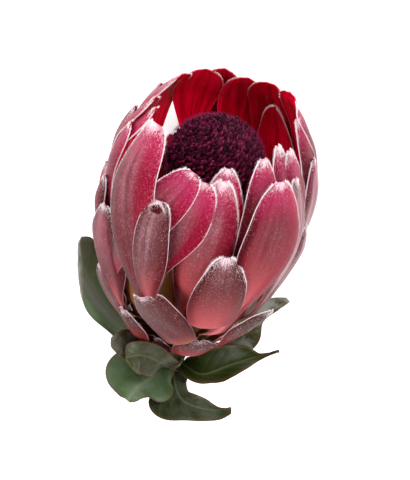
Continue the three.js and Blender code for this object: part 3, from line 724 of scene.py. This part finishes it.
def add_tip(n, v, skin):
    """White grains, the whitish foot of the tuft, and in a dented tip a hollow of painted dark red shade
    with pale lips.
    """
    grains = v.speckle.ramp(0.6, 0.72) * v.along.ramp(0.45, 0.9, 0.05, 0.5)
    skin = n.mix(grains * v.down.ramp(0.0, 1.0, 0.2, 0.8), skin, TIP.grain)
    reach = v.tip + (v.fibres - 0.5) * 7 + v.off_middle * 6
    foot = reach.ramp(0.3, v.tuft * 6, 0.9, 0.0) * (v.rim - v.dark * 0.5)
    skin = n.mix(foot.clamped(), skin, TIP.tuft)
    from_dent = (v.tip - DENT_FROM_TIP) * 0.62
    from_line = (v.across - 0.5) * 3.6
    oval = n.math("SQRT", from_dent * from_dent + from_line * from_line) + (v.speckle - 0.5) * 0.5
    lips = oval.ramp(0.9, 1.5, 1.0, 0.0) * v.tip.ramp(1.8, 3.6, 1.0, 0.1)
    skin = n.mix(lips * v.dent, skin, TIP.lips)
    # Painted shade in the dented hollow below the tip.
    mouth = oval.ramp(0.65, 0.95, 1.0, 0.0) * (v.dent * 4)
    return n.mix(mouth.clamped(), skin, TIP.mouth)


def inner_face(n, v):
    """Crimson made bright by painted light that shines through the thin bract, in soft lengthwise folds
    of more and less of it.
    """
    # Lighter and darker folds of the painted light that shines through the bract.
    fold = (v.streaks * 0.8 + v.patches * 0.2).ramp(0.36, 0.64)
    inside = n.mix(fold, INSIDE.dark, INSIDE.light)
    inside = n.mix(v.fibres.ramp(0.5, 0.8, 0.0, 0.12), inside, INSIDE.fibre)
    return n.mix(v.along.ramp(0.2, 0.5, 1.0, 0.0), inside, INSIDE.base)


def bract_material():
    """Downy rose skin outside, with painted sheen, light and shade on it; crimson inside, raised by painted
    light; and a white rim between them.
    """
    n = Nodes("bract")
    v = bract_values(n)
    skin, down_and_sheen = add_down_and_sheen(n, v, bare_skin(n, v))
    skin = add_tip(n, v, add_margins(n, v, skin))
    body = n.mix(v.outer.ramp(0.45, 0.55), inner_face(n, v), skin)
    ragged = v.edge + (v.speckle - 0.5) * 0.5
    rim = ragged.ramp(0.0, 0.22, 1.0, 0.0) * v.along.ramp(0.3, 0.95, 0.1, 1.0)
    return n.finish(
        n.mix(rim * v.rim, body, MARGIN.rim), Roughness=down_and_sheen.ramp(0.0, 1.0, 0.4, 0.62), IOR=1.42,
        Sheen_Weight=0.015, Sheen_Roughness=0.35, Sheen_Tint=HAIR.sheen, Specular_IOR_Level=0.1,
        Subsurface_Weight=0.1, Subsurface_Radius=(1.0, 0.18, 0.22), Subsurface_Scale=1 / MM_PER_METRE,
        Normal=n.bump(v.fibres * 0.6 + v.frost * 0.8, 0.12, 0.7))


def hair_material():
    """Silky white plant hair."""
    n = Nodes("hair")
    return n.finish(n.mix(n.noise(n.place(), 1.4), HAIR.dull, HAIR.bright), Roughness=0.5, Sheen_Weight=0.4,
                    Sheen_Roughness=0.5, Specular_IOR_Level=0.5)


def make_bracts():
    """The goblet of bracts on its receptacle, then the fringes, the tufts and the down."""
    random = np.random.default_rng(3)
    front = [Bract(**shape) for shape in SHOWN_BRACTS]
    back = [Bract(at=(azimuth, azimuth), z=(low, high), **shape)
            for row, low, shape in BACK_ROWS for azimuth, high in row]
    inner = [*inner_row(), *claw_row()]
    blades = Shell()
    for bracts, grid in ((front, FRONT_GRID), (back, BACK_GRID), (inner, INNER_GRID)):
        for bract in bracts:
            add_bract(blades, bract, grid, random)
    blades.add(*lathe(RECEPTACLE, 48), place=[0.1, 0.5, 0.5, 1], tone=[0.6, 0, 0.8, 0.5],
               more=[1, 0.3, 0, 0], hollow=[0, 0.4, 0, 1])
    blades.make("bract_blades", bract_material(), "bract", replaced=("bracts",))
    hair = hair_material()
    fringe = Shell()
    for bract in front:
        margin_fringe(fringe, bract, FRONT_FRINGE, random)
    for bract in back:
        margin_fringe(fringe, bract, BACK_FRINGE, random, from_t=0.6)
    fringe.make("margin_hairs", hair, "bract", smooth=False)
    tufts = Shell()
    for bract in front:
        tip_crown(tufts, bract, int(CROWN_HAIRS * bract.shape["beard"]), random)
        tip_beard(tufts, bract, int(BEARD_HAIRS * bract.shape["beard"]), random)
    for bract in back:
        tip_beard(tufts, bract, BACK_BEARD_HAIRS, random)
    tufts.make("tip_hairs", hair, "bract", smooth=False)
    down = Shell()
    for bract in front:
        face_down(down, bract, int(DOWN_HAIRS * bract.shape["down"]), random)
    down.make("down_hairs", hair, "bract", smooth=False)


# The bundle of florets: the solid core's heights and radii, and the dome that the tips make.
FLORET_CORE = [(33, 0), (33, 13.6), (38, 14), (45, 14.4), (82, 14.6), (90, 13.6), (96, 10.4), (100, 5),
               (101, 0)]
DOME_RADIUS = 17.2
DOME_START = 90
DOME_HEIGHT = 14
DOME_FLORETS = 640
DOME_HAIRS = 5000
SIDE_FLORETS = 420
SIDE_HAIRS = 4000
SIDE_BOTTOM = 46
SIDE_FLORET_LENGTH = 18

# A floret is a slim rounded club: where its rings stand, as shares of its length and of its radius.
CLUB_SIDES = 6
CLUB_RINGS = [(0, 0.7), (0.45, 0.8), (0.72, 1), (0.88, 0.92), (0.97, 0.55)]


def dome_top(reach):
    """Height of the dome at a share of its radius."""
    return DOME_START + DOME_HEIGHT * np.sqrt(1 - 0.97 * reach**2)


def add_clubs(shell, roots, tips, radius, tone, lean):
    """Florets from their roots to their tips. Lean bends each one sideways near its tip."""
    along = tips - roots
    side = unit(np.cross(along, [0.2, 0.1, 1.0]))[:, None]
    other = unit(np.cross(along, side[:, 0]))[:, None]
    angle = np.linspace(0, 2 * math.pi, CLUB_SIDES, endpoint=False)[:, None]
    rings = []
    for share, size in CLUB_RINGS:
        centre = roots + along * share + lean * share**3
        ring = (side * np.cos(angle) + other * np.sin(angle)) * size * radius[:, None, None]
        rings.append(centre[:, None] + ring)
    points = np.concatenate(rings + [roots[:, None], (tips + lean)[:, None]], axis=1)
    count, each = points.shape[:2]
    top = (len(CLUB_RINGS) - 1) * CLUB_SIDES
    caps = []
    for j in range(CLUB_SIDES):
        after = (j + 1) % CLUB_SIDES
        caps += [[after, j, each - 2], [top + j, top + after, each - 1]]
    first = each * np.arange(count)[:, None, None]
    place = np.zeros((count, each, 4))
    place[..., 0] = np.append(np.repeat([share for share, _ in CLUB_RINGS], CLUB_SIDES), [0, 1])
    place[..., 1] = tone[:, None]
    place[..., 3] = 1
    shell.add(points.reshape(-1, 3), (first + tube_faces(len(CLUB_RINGS) - 1, CLUB_SIDES)).reshape(-1, 4),
              (first + np.array(caps)).reshape(-1, 3), place=place.reshape(-1, 4))


def add_dome(shell, random):
    """The florets of the dome, in a spiral that is sunk a little in its middle and leans round the axis."""
    i = np.arange(DOME_FLORETS)
    reach = np.sqrt((i + 0.5) / DOME_FLORETS)
    angle = i * GOLDEN_ANGLE
    top = dome_top(reach)
    sunk = 1.1 * np.exp(-((reach / 0.22) ** 2))
    tips = around(DOME_RADIUS * reach, angle, top - 1.1 * random.random(DOME_FLORETS) - sunk)
    roots = around(DOME_RADIUS * reach * 0.78, angle, top - 8.5 + 2 * reach)
    swirl = around(1.3, angle + math.pi * 0.72, 0) * (0.4 + reach[:, None])
    swirl = swirl + random.normal(size=(DOME_FLORETS, 3)) * 0.35
    radius = 0.54 + 0.14 * random.random(DOME_FLORETS)
    add_clubs(shell, roots, tips, radius, random.random(DOME_FLORETS), swirl)


def add_side_florets(shell, random):
    """The upright florets below the dome, in a spiral up the core."""
    i = np.arange(SIDE_FLORETS)
    angle = i * GOLDEN_ANGLE
    high = SIDE_BOTTOM + (DOME_START - SIDE_BOTTOM) * i / SIDE_FLORETS + 2 * random.random(SIDE_FLORETS)
    tips = around(DOME_RADIUS - 0.2 + 0.5 * random.random(SIDE_FLORETS), angle, high)
    roots = around(13.4, angle, high - SIDE_FLORET_LENGTH)
    lean = random.normal(size=(SIDE_FLORETS, 3)) * 0.25
    radius = 0.7 + 0.15 * random.random(SIDE_FLORETS)
    add_clubs(shell, roots, tips, radius, random.random(SIDE_FLORETS) * 0.7, lean)


def floret_fur(random):
    """Down between the tips, on the dome and on the bundle's side."""
    fur = Shell()
    reach = np.sqrt(random.random(DOME_HAIRS))
    angle = 2 * math.pi * random.random(DOME_HAIRS)
    roots = around(DOME_RADIUS * reach, angle, dome_top(reach) - 0.9 - 1.2 * random.random(DOME_HAIRS))
    directions = around(reach, angle, 0.9 - 0.5 * reach) + random.normal(size=(DOME_HAIRS, 3)) * 0.55
    add_hairs(fur, roots, directions, 0.6 + 0.8 * random.random(DOME_HAIRS), 0.05)
    angle = 2 * math.pi * random.random(SIDE_HAIRS)
    roots = around(DOME_RADIUS - 0.4, angle, 55 + 36 * random.random(SIDE_HAIRS) ** 0.7)
    directions = around(1, angle, 1.2) + random.normal(size=(SIDE_HAIRS, 3)) * 0.4
    add_hairs(fur, roots, directions, 0.6 + 0.8 * random.random(SIDE_HAIRS), 0.05)
    return fur


def floret_material():
    """Near-black purple velvet whose tips are a little lighter."""
    n = Nodes("floret")
    height, tone, _, _ = n.layer("place")
    fur = n.noise(n.place(), 3.2, 3.0, 0.7)
    body = n.mix(fur.ramp(0.35, 0.7), FLORET.dark, FLORET.light)
    body = n.mix(tone.ramp(0.0, 0.6, 0.85, 0.0), body, FLORET.deep)
    body = n.mix(height.ramp(0.7, 1.0) * tone.ramp(0.4, 1.0) * 0.6, body, FLORET.tip)
    return n.finish(body, Roughness=0.42, Specular_IOR_Level=0.14, Normal=n.bump(fur, 0.2, 0.6))


def floret_hair_material():
    """Dark purple down."""
    n = Nodes("floret_hair")
    return n.finish(n.mix(n.noise(n.place(), 0.9), FLORET.dark_hair, FLORET.light_hair), Roughness=0.6,
                    Specular_IOR_Level=0.08)


def make_florets():
    random = np.random.default_rng(5)
    bundle = Shell()
    bundle.add(*lathe(FLORET_CORE, 40), place=[0, 0, 0, 1])
    add_dome(bundle, random)
    add_side_florets(bundle, random)
    bundle.make("floret_bundle", floret_material(), "floret", replaced=("florets",))
    floret_fur(random).make("floret_hairs", floret_hair_material(), "floret", smooth=False)


# Leaves. rib: midrib points as x, distance to the front and height; looks: the way the lower face looks
# at the base and at the tip; left, right: half widths on either side of the midrib from base to tip; cup,
# wave, waves: how far the margins rise, and the height and number of their waves; green: how green
# against grey; pale: how much pale waxy coating it carries; light: how much painted light the upper face
# carries, with a painted sheen band along its middle.
PLAIN_LEAF = dict(cup=0.25, wave=1, waves=2.5, green=0.5, pale=0.4, light=0)
BACK_LEAF = dict(left=((0, 2.5), (0.3, 6.8), (0.55, 10), (0.8, 8.5), (0.93, 5), (1, 1)), cup=0.15)
LEAVES = [
    dict(rib=((-5.4, 0, -13), (-17, 2, -6), (-30, 4, 8), (-40, 4, 24), (-43, 3, 40)),
         looks=((-0.87, 0, -0.5),),
         left=((0, 3.5), (0.3, 8.5), (0.6, 14), (0.8, 13), (0.92, 9), (1, 2)),
         right=((0, 3.5), (0.3, 8.5), (0.6, 15.5), (0.75, 14.5), (0.9, 9.8), (1, 2)),
         cup=0.3, green=0.75, pale=0.2, light=0.8),
    dict(rib=((2.4, 4.8, -12), (-3, 19.8, 2.5), (-11, 24.4, 9.5), (-17.8, 25.2, 7)),
         looks=((0, -0.95, -0.35), (0, -0.8, -0.6)),
         left=((0, 2.5), (0.3, 4.5), (0.6, 6), (0.8, 5.5), (0.92, 4), (1, 1)),
         right=((0, 2.5), (0.3, 5), (0.6, 7.5), (0.8, 6.5), (0.92, 4), (1, 1)), green=0.6, pale=0.08),
    dict(rib=((-3.5, 4.4, -6), (-12, 13, 0), (-18, 19, 7), (-23, 21, 15)),
         looks=((-0.5, 0, -0.8), (-0.5, -0.6, -0.6)),
         left=((0, 2.4), (0.5, 5.7), (0.8, 5), (1, 1)),
         right=((0, 2.4), (0.5, 5.6), (0.9, 5.4), (1, 2)), green=0.2, pale=0.2),
    dict(rib=((-2.1, 4.2, -17), (-7, 15.5, -13.5), (-11, 21.5, -13), (-14, 25, -18)),
         looks=((0, -0.6, -0.8),),
         left=((0, 4.2), (0.3, 10), (0.6, 15), (0.75, 14.2), (0.9, 9.5), (1, 2)),
         right=((0, 4.2), (0.15, 6.3), (0.3, 10), (0.42, 10.5), (0.6, 6.8), (0.75, 4.3), (0.9, 3), (1, 1)),
         green=0.9, pale=0.05, light=0.1),
    dict(rib=((1.4, 4.3, -20), (4, 12, -20), (8, 17, -20.5), (17, 20, -19), (27, 20, -16)),
         looks=((0, -0.6, -0.8),),
         left=((0, 4.2), (0.15, 7.5), (0.3, 11.9), (0.42, 12.4), (0.6, 6.8), (0.75, 4.7), (0.9, 3.5),
               (1, 1.2)),
         right=((0, 4.2), (0.15, 5), (0.3, 3.9), (0.45, 4), (0.6, 4.3), (0.75, 3.7), (0.88, 1), (1, 1)),
         green=1, pale=0.05),
    dict(rib=((4.2, 3.4, -14.8), (12.4, 12.4, -8.2), (22, 16, 4.5), (31, 16, 12.5), (39, 14, 16)),
         looks=((0, -0.6, -0.8),),
         left=((0, 3.4), (0.15, 3.6), (0.3, 3.7), (0.45, 4.9), (0.6, 3.5), (0.75, 1.8), (0.9, 0.6),
               (1, 0.3)),
         right=((0, 3.4), (0.15, 8), (0.3, 9.2), (0.45, 8.4), (0.6, 6.9), (0.7, 4.5), (0.77, 0.9), (1, 0.3)),
         green=1, pale=0),
    dict(rib=((5.8, 0, -7.8), (17.5, 6.8, 1.5), (24.5, 7, 11), (30, 3.5, 20), (38.5, -0.5, 29.5)),
         looks=((0.2, -0.6, -0.8), (0.4, -0.6, -0.6)),
         left=((0, 2.4), (0.3, 4.6), (0.5, 6), (0.62, 5), (0.75, 1.5), (0.9, 1), (1, 0.3)),
         right=((0, 2.4), (0.3, 3.4), (0.6, 4.6), (0.8, 5), (0.9, 3.8), (1, 0.5)), green=0.3),
    dict(rib=((3.4, -4.2, -14), (12, -14, -9), (22, -22.6, 2), (30, -28.4, 15)), looks=((0.5, -0.8, -0.3),),
         **BACK_LEAF),
    dict(rib=((-3.2, -4, -14), (-12, -14, -9), (-23, -22.2, 2), (-31, -27.8, 15)),
         looks=((-0.5, -0.8, -0.3),), **BACK_LEAF),
]
LEAF_GRID = (64, 26)
LEAF_THICKNESS = 1
LEAF_MARGIN = 0.3  # thickness at the margin
LEAF_LENGTH = 40  # stands for each leaf's length in its distance to the tip
MIDRIB_HEIGHT = 0.35
VEIN_HEIGHT = 0.05
VEIN_PAIRS = 9
VEIN_SLANT = 2.2  # how many veins' distance a vein climbs on its way to the margin


def rib_point(points, t):
    """A point of the smooth curve through the points, each stretch taking the same share of t."""
    points = np.array(points, float) * [1, -1, 1]
    padded = np.concatenate([[2 * points[0] - points[1]], points, [2 * points[-1] - points[-2]]])
    stretch = np.clip(t, 0, 1) * (len(points) - 1)
    i = np.minimum(stretch.astype(int), len(points) - 2)
    w = (stretch - i)[..., None]
    a, b, c, d = (padded[i + k] for k in range(4))
    start, end = 0.5 * (c - a), 0.5 * (d - b)
    return (2 * b - 2 * c + start + end) * w**3 + (-3 * b + 3 * c - 2 * start - end) * w**2 + start * w + b


def leaf_surface(shape, order, t, u):
    """A leaf's middle surface, and its half width at each of the points."""
    step = 1e-4
    rib = shape["rib"]
    along = unit(rib_point(rib, np.minimum(1, t + step)) - rib_point(rib, np.maximum(0, t - step)))
    first, last = (np.array(shape["looks"][k]) * [1, -1, 1] for k in (0, -1))
    looks = first + (last - first) * t[..., None]
    normal = unit(looks - part_of(looks, along))
    across = np.cross(along, normal)
    half = np.where(u < 0, through(shape["left"], t), through(shape.get("right", shape["left"]), t))
    phase = order + np.where(u < 0, 2.1, 0)
    lift = (shape["cup"] * np.abs(u) ** 1.6 * half
            + shape["wave"] * u * u * np.sin(2 * math.pi * shape["waves"] * t + phase))
    return rib_point(rib, t) + across * (u * half)[..., None] - normal * lift[..., None], half


def make_leaf(order, shape, material):
    shape = {**PLAIN_LEAF, **shape}
    t, u = blade_grid(*LEAF_GRID, tip_row=0.985)
    middle, half = leaf_surface(shape, order, t, u)
    edge = np.minimum((1 - np.abs(u)) * half, (1 - t) * LEAF_LENGTH)
    thickness = LEAF_MARGIN + (LEAF_THICKNESS - LEAF_MARGIN) * smoothstep(0, 2.5, edge)
    midrib = MIDRIB_HEIGHT * np.exp(-((u * half / 0.7) ** 2)) * (1 - 0.7 * t)
    veins = VEIN_HEIGHT * np.cos(2 * math.pi * (VEIN_PAIRS * t - VEIN_SLANT * np.abs(u)))
    veins = veins * smoothstep(0.05, 0.3, np.abs(u)) * smoothstep(0, 2, edge)
    blade = Shell()
    add_blade(blade, t, u, middle, thickness / 2 + midrib, veins, edge,
              tone=[shape["green"], shape["pale"], shape["light"], 1])
    name = f"leaf_{order + 1}"
    blade.make(f"{name}_blade", material, "leaf", replaced=(name,))


def leaf_material():
    """Leathery grey-green with a pale waxy coating, pale veins and a red-brown margin; painted light on
    the upper face, giving way to painted shade at its margin, with a painted sheen band along its middle.
    """
    n = Nodes("leaf")
    along, across, edge, lower = n.layer("place")
    green, pale, light, _ = n.layer("tone")
    # Painted light, on the upper face only.
    light = light * lower.ramp(0.45, 0.55, 1.0, 0.0)
    edge_mm = edge * EDGE_UNIT
    where = n.place()
    patches = n.noise(where, 0.11, 3.0, 0.55)
    mottle = n.noise(where, 0.7, 3.0, 0.6)
    body = n.mix(green, LEAF.grey, LEAF.green)
    body = n.mix(mottle.ramp(0.35, 0.7), n.mix(0.5, body, LEAF.mottle), body)
    # Painted light on the upper face, giving way to painted shade near its margin.
    body = n.mix(light * 0.8, body, LEAF.light)
    body = n.mix((edge_mm.ramp(0.5, 5.0, 0.75, 0.0) * light).clamped(), body, LEAF.light_edge)
    # A painted sheen band along the middle of the lit face, taken with the patches of pale wax.
    band = abs(across - 0.55).ramp(0.04, 0.22, 1.0, 0.0) * (light * along.ramp(0.2, 0.5))
    bloom = n.math("MAXIMUM", (patches.ramp(0.42, 0.62) * pale).clamped(), band.clamped())
    body = n.mix(bloom * 0.75, body, LEAF.bloom)
    off_rib = abs(across - 0.5)
    slant = along * VEIN_PAIRS - off_rib * (2 * VEIN_SLANT)
    vein = n.math("COSINE", slant * (2 * math.pi)).ramp(0.86, 1.0) * off_rib.ramp(0.02, 0.1)
    rib = off_rib.ramp(0.015, 0.045, 1.0, 0.0)
    body = n.mix(n.math("MAXIMUM", vein * 0.06, rib * 0.2), body, LEAF.vein)
    margin = (edge_mm + patches * 0.8).ramp(0.6, 1.9, 1.0, 0.0)
    body = n.mix(margin * 0.35, body, LEAF.margin)
    return n.finish(
        body, Roughness=bloom.ramp(0.0, 1.0, 0.42, 0.62), Specular_IOR_Level=0.14, Coat_Weight=0.03,
        Coat_Roughness=0.3, Normal=n.bump(mottle + n.noise(where, 4.0) * 0.5, 0.15, 0.45))


STEM_LENGTH = 38
STEM_TOP = -4.3
STEM_RADIUS = 5
STEM_RINGS = 60
STEM_SEGMENTS = 48
JOINT_SWELL = 0.25
JOINT_WAVE = 18.9  # radians of the joints' wave over the stem's length
TOP_SWELL = 0.6
CUT_SLOPE = 0.35  # the slanting cut at the stem's end, rise over run
CUT_RINGS = (0.0, 0.3, 0.6, 0.9)  # rings of the cut face, as shares of its radius
CUT_LIP = (0.97, 0.12)  # where the bark's lip begins, and how far it stands out


def stem_material():
    """Green-brown bark with fine lengthwise fibres, and a pale cut face."""
    n = Nodes("stem")
    _, cut, _, _ = n.layer("place")
    where = n.place()
    fibres = n.noise(n.stretched(where, (1.0, 0.12, 1.0)), 2.2, 3.0, 0.6)
    bark = n.mix(fibres.ramp(0.35, 0.65), STEM.dark, STEM.light)
    bark = n.mix(n.noise(where, 0.35).ramp(0.5, 0.65, 0.0, 0.7), bark, STEM.green)
    pith = n.mix(fibres.ramp(0.3, 0.7), STEM.pith, STEM.pith_line)
    return n.finish(n.mix(cut, bark, pith), Roughness=0.75, Specular_IOR_Level=0.3,
                    Normal=n.bump(fibres, 0.25, 0.6))


def make_stem():
    """The stem with swollen leaf joints, fine ridges and a slanting cut with pith in its middle."""
    z = np.linspace(-STEM_LENGTH, STEM_TOP, STEM_RINGS)[:, None]
    height = (z + STEM_LENGTH) / (STEM_LENGTH + STEM_TOP)
    swell = JOINT_SWELL * np.sin(height * JOINT_WAVE) + TOP_SWELL * smoothstep(-16, STEM_TOP, z)
    angle = np.linspace(0, 2 * math.pi, STEM_SEGMENTS, endpoint=False)
    ridges = 0.07 * np.sin(11 * angle) + 0.05 * np.sin(23 * angle + z * 0.5)
    side = around(STEM_RADIUS - TOP_SWELL + swell + ridges, angle, z)
    side[..., 2] += CUT_SLOPE * side[..., 0] * (1 - smoothstep(-STEM_LENGTH, -STEM_LENGTH + 6, z))
    cut = []
    for share, lip in [(share, 0) for share in CUT_RINGS] + [CUT_LIP]:
        ring = side[0] * [share, share, 1]
        ring[:, 2] = -STEM_LENGTH + CUT_SLOPE * ring[:, 0] + 0.25 * (1 - share) ** 2 - lip
        cut.append(ring)
    points = np.concatenate([np.stack(cut), side, side[-1:] * [0, 0, 1]])
    place = np.zeros((*points.shape[:2], 4))
    place[:len(cut), :, 1] = 1
    place[..., 3] = 1
    bark = Shell()
    bark.add(points.reshape(-1, 3), tube_faces(len(points) - 1, STEM_SEGMENTS), place=place.reshape(-1, 4))
    bark.make("stem_bark", stem_material(), "stem", replaced=("stem",))


# The camera of the photograph, fitted in the flower's frame. TARGET is seen at the pixel TARGET_PX.
CAMERA_ELEVATION = math.radians(41)
CAMERA_ROLL = math.radians(12)
CAMERA_DISTANCE = 450
TARGET = np.array([0.0, 0.0, 68.0])
TARGET_PX = (206, 203)
PICTURE_WIDTH, PICTURE_HEIGHT = 410, 480
FOCAL_PX = 1265
SENSOR_MM = 36


def make_camera():
    back = np.array([0, -math.cos(CAMERA_ELEVATION), math.sin(CAMERA_ELEVATION)])
    position = TARGET + back * CAMERA_DISTANCE
    up = unit(np.array([0, 0, 1.0]) - back * back[2])
    right = np.cross(-back, up)
    rolled_right = right * math.cos(CAMERA_ROLL) + up * math.sin(CAMERA_ROLL)
    rolled_up = up * math.cos(CAMERA_ROLL) - right * math.sin(CAMERA_ROLL)
    aside = (TARGET_PX[0] - PICTURE_WIDTH / 2) / FOCAL_PX
    above = (PICTURE_HEIGHT / 2 - TARGET_PX[1]) / FOCAL_PX
    forward = unit(-back - aside * rolled_right - above * rolled_up)
    picture_up = unit(rolled_up - part_of(rolled_up, forward))
    columns = [TURN @ v for v in (np.cross(forward, picture_up), picture_up, -forward)]
    place = (TURN @ position + HEAD_BASE) / MM_PER_METRE
    data = bpy.data.cameras.new("camera")
    data.sensor_width = SENSOR_MM
    data.lens = FOCAL_PX / PICTURE_HEIGHT * SENSOR_MM
    data.clip_start = 0.01
    camera = bpy.data.objects.new("camera", data)
    rotation = Matrix(np.stack(columns, axis=1).tolist())
    camera.matrix_world = Matrix.Translation(Vector(place)) @ rotation.to_4x4()
    bpy.context.scene.collection.objects.link(camera)
    bpy.context.scene.camera = camera


# Soft studio light, brightest from beyond the open end of the bloom: place in metres, diameter and power.
LIT_POINT = Vector((0, 0.02, 0.04))
LIGHTS = {
    "key": ((0.3, 0.68, 0.6), 0.3, 6.6),
    "front": ((-0.45, -0.5, 0.75), 0.5, 6.5),
    "left": ((-0.5, 0.5, 0.4), 0.4, 2.0),
    "right": ((0.6, -0.2, 0.35), 0.4, 1.2),
}
FLOOR_SIZE = 6
FLOOR_GLOW = 0.5
SKY_STRENGTH = 0.45


def make_lights():
    for name, (place, diameter, power) in LIGHTS.items():
        data = bpy.data.lights.new(name, "AREA")
        data.shape = "DISK"
        data.size = diameter
        data.energy = power
        light = bpy.data.objects.new(name, data)
        light.location = place
        light.rotation_euler = (LIT_POINT - Vector(place)).to_track_quat("-Z", "Y").to_euler()
        bpy.context.scene.collection.objects.link(light)
    world = bpy.data.worlds.new("world")
    world.use_nodes = True
    background = world.node_tree.nodes["Background"]
    background.inputs["Color"].default_value = (1, 1, 1, 1)
    background.inputs["Strength"].default_value = SKY_STRENGTH
    bpy.context.scene.world = world
    bpy.context.scene.view_settings.view_transform = "Standard"


def make_floor():
    """A plain pale floor."""
    bpy.ops.mesh.primitive_plane_add(size=FLOOR_SIZE)
    floor = bpy.context.object
    floor.name = "floor"
    n = Nodes("floor")
    floor.data.materials.append(n.finish(
        n.mix(n.noise(n.place(), 0.02), FLOOR.dark, FLOOR.light), Roughness=0.9, Specular_IOR_Level=0.1,
        Emission_Color=(1, 1, 1, 1), Emission_Strength=FLOOR_GLOW))


make_camera()
make_floor()
make_lights()
make_bracts()
make_florets()
leaf_look = leaf_material()
for order, shape in enumerate(LEAVES):
    make_leaf(order, shape, leaf_look)
make_stem()
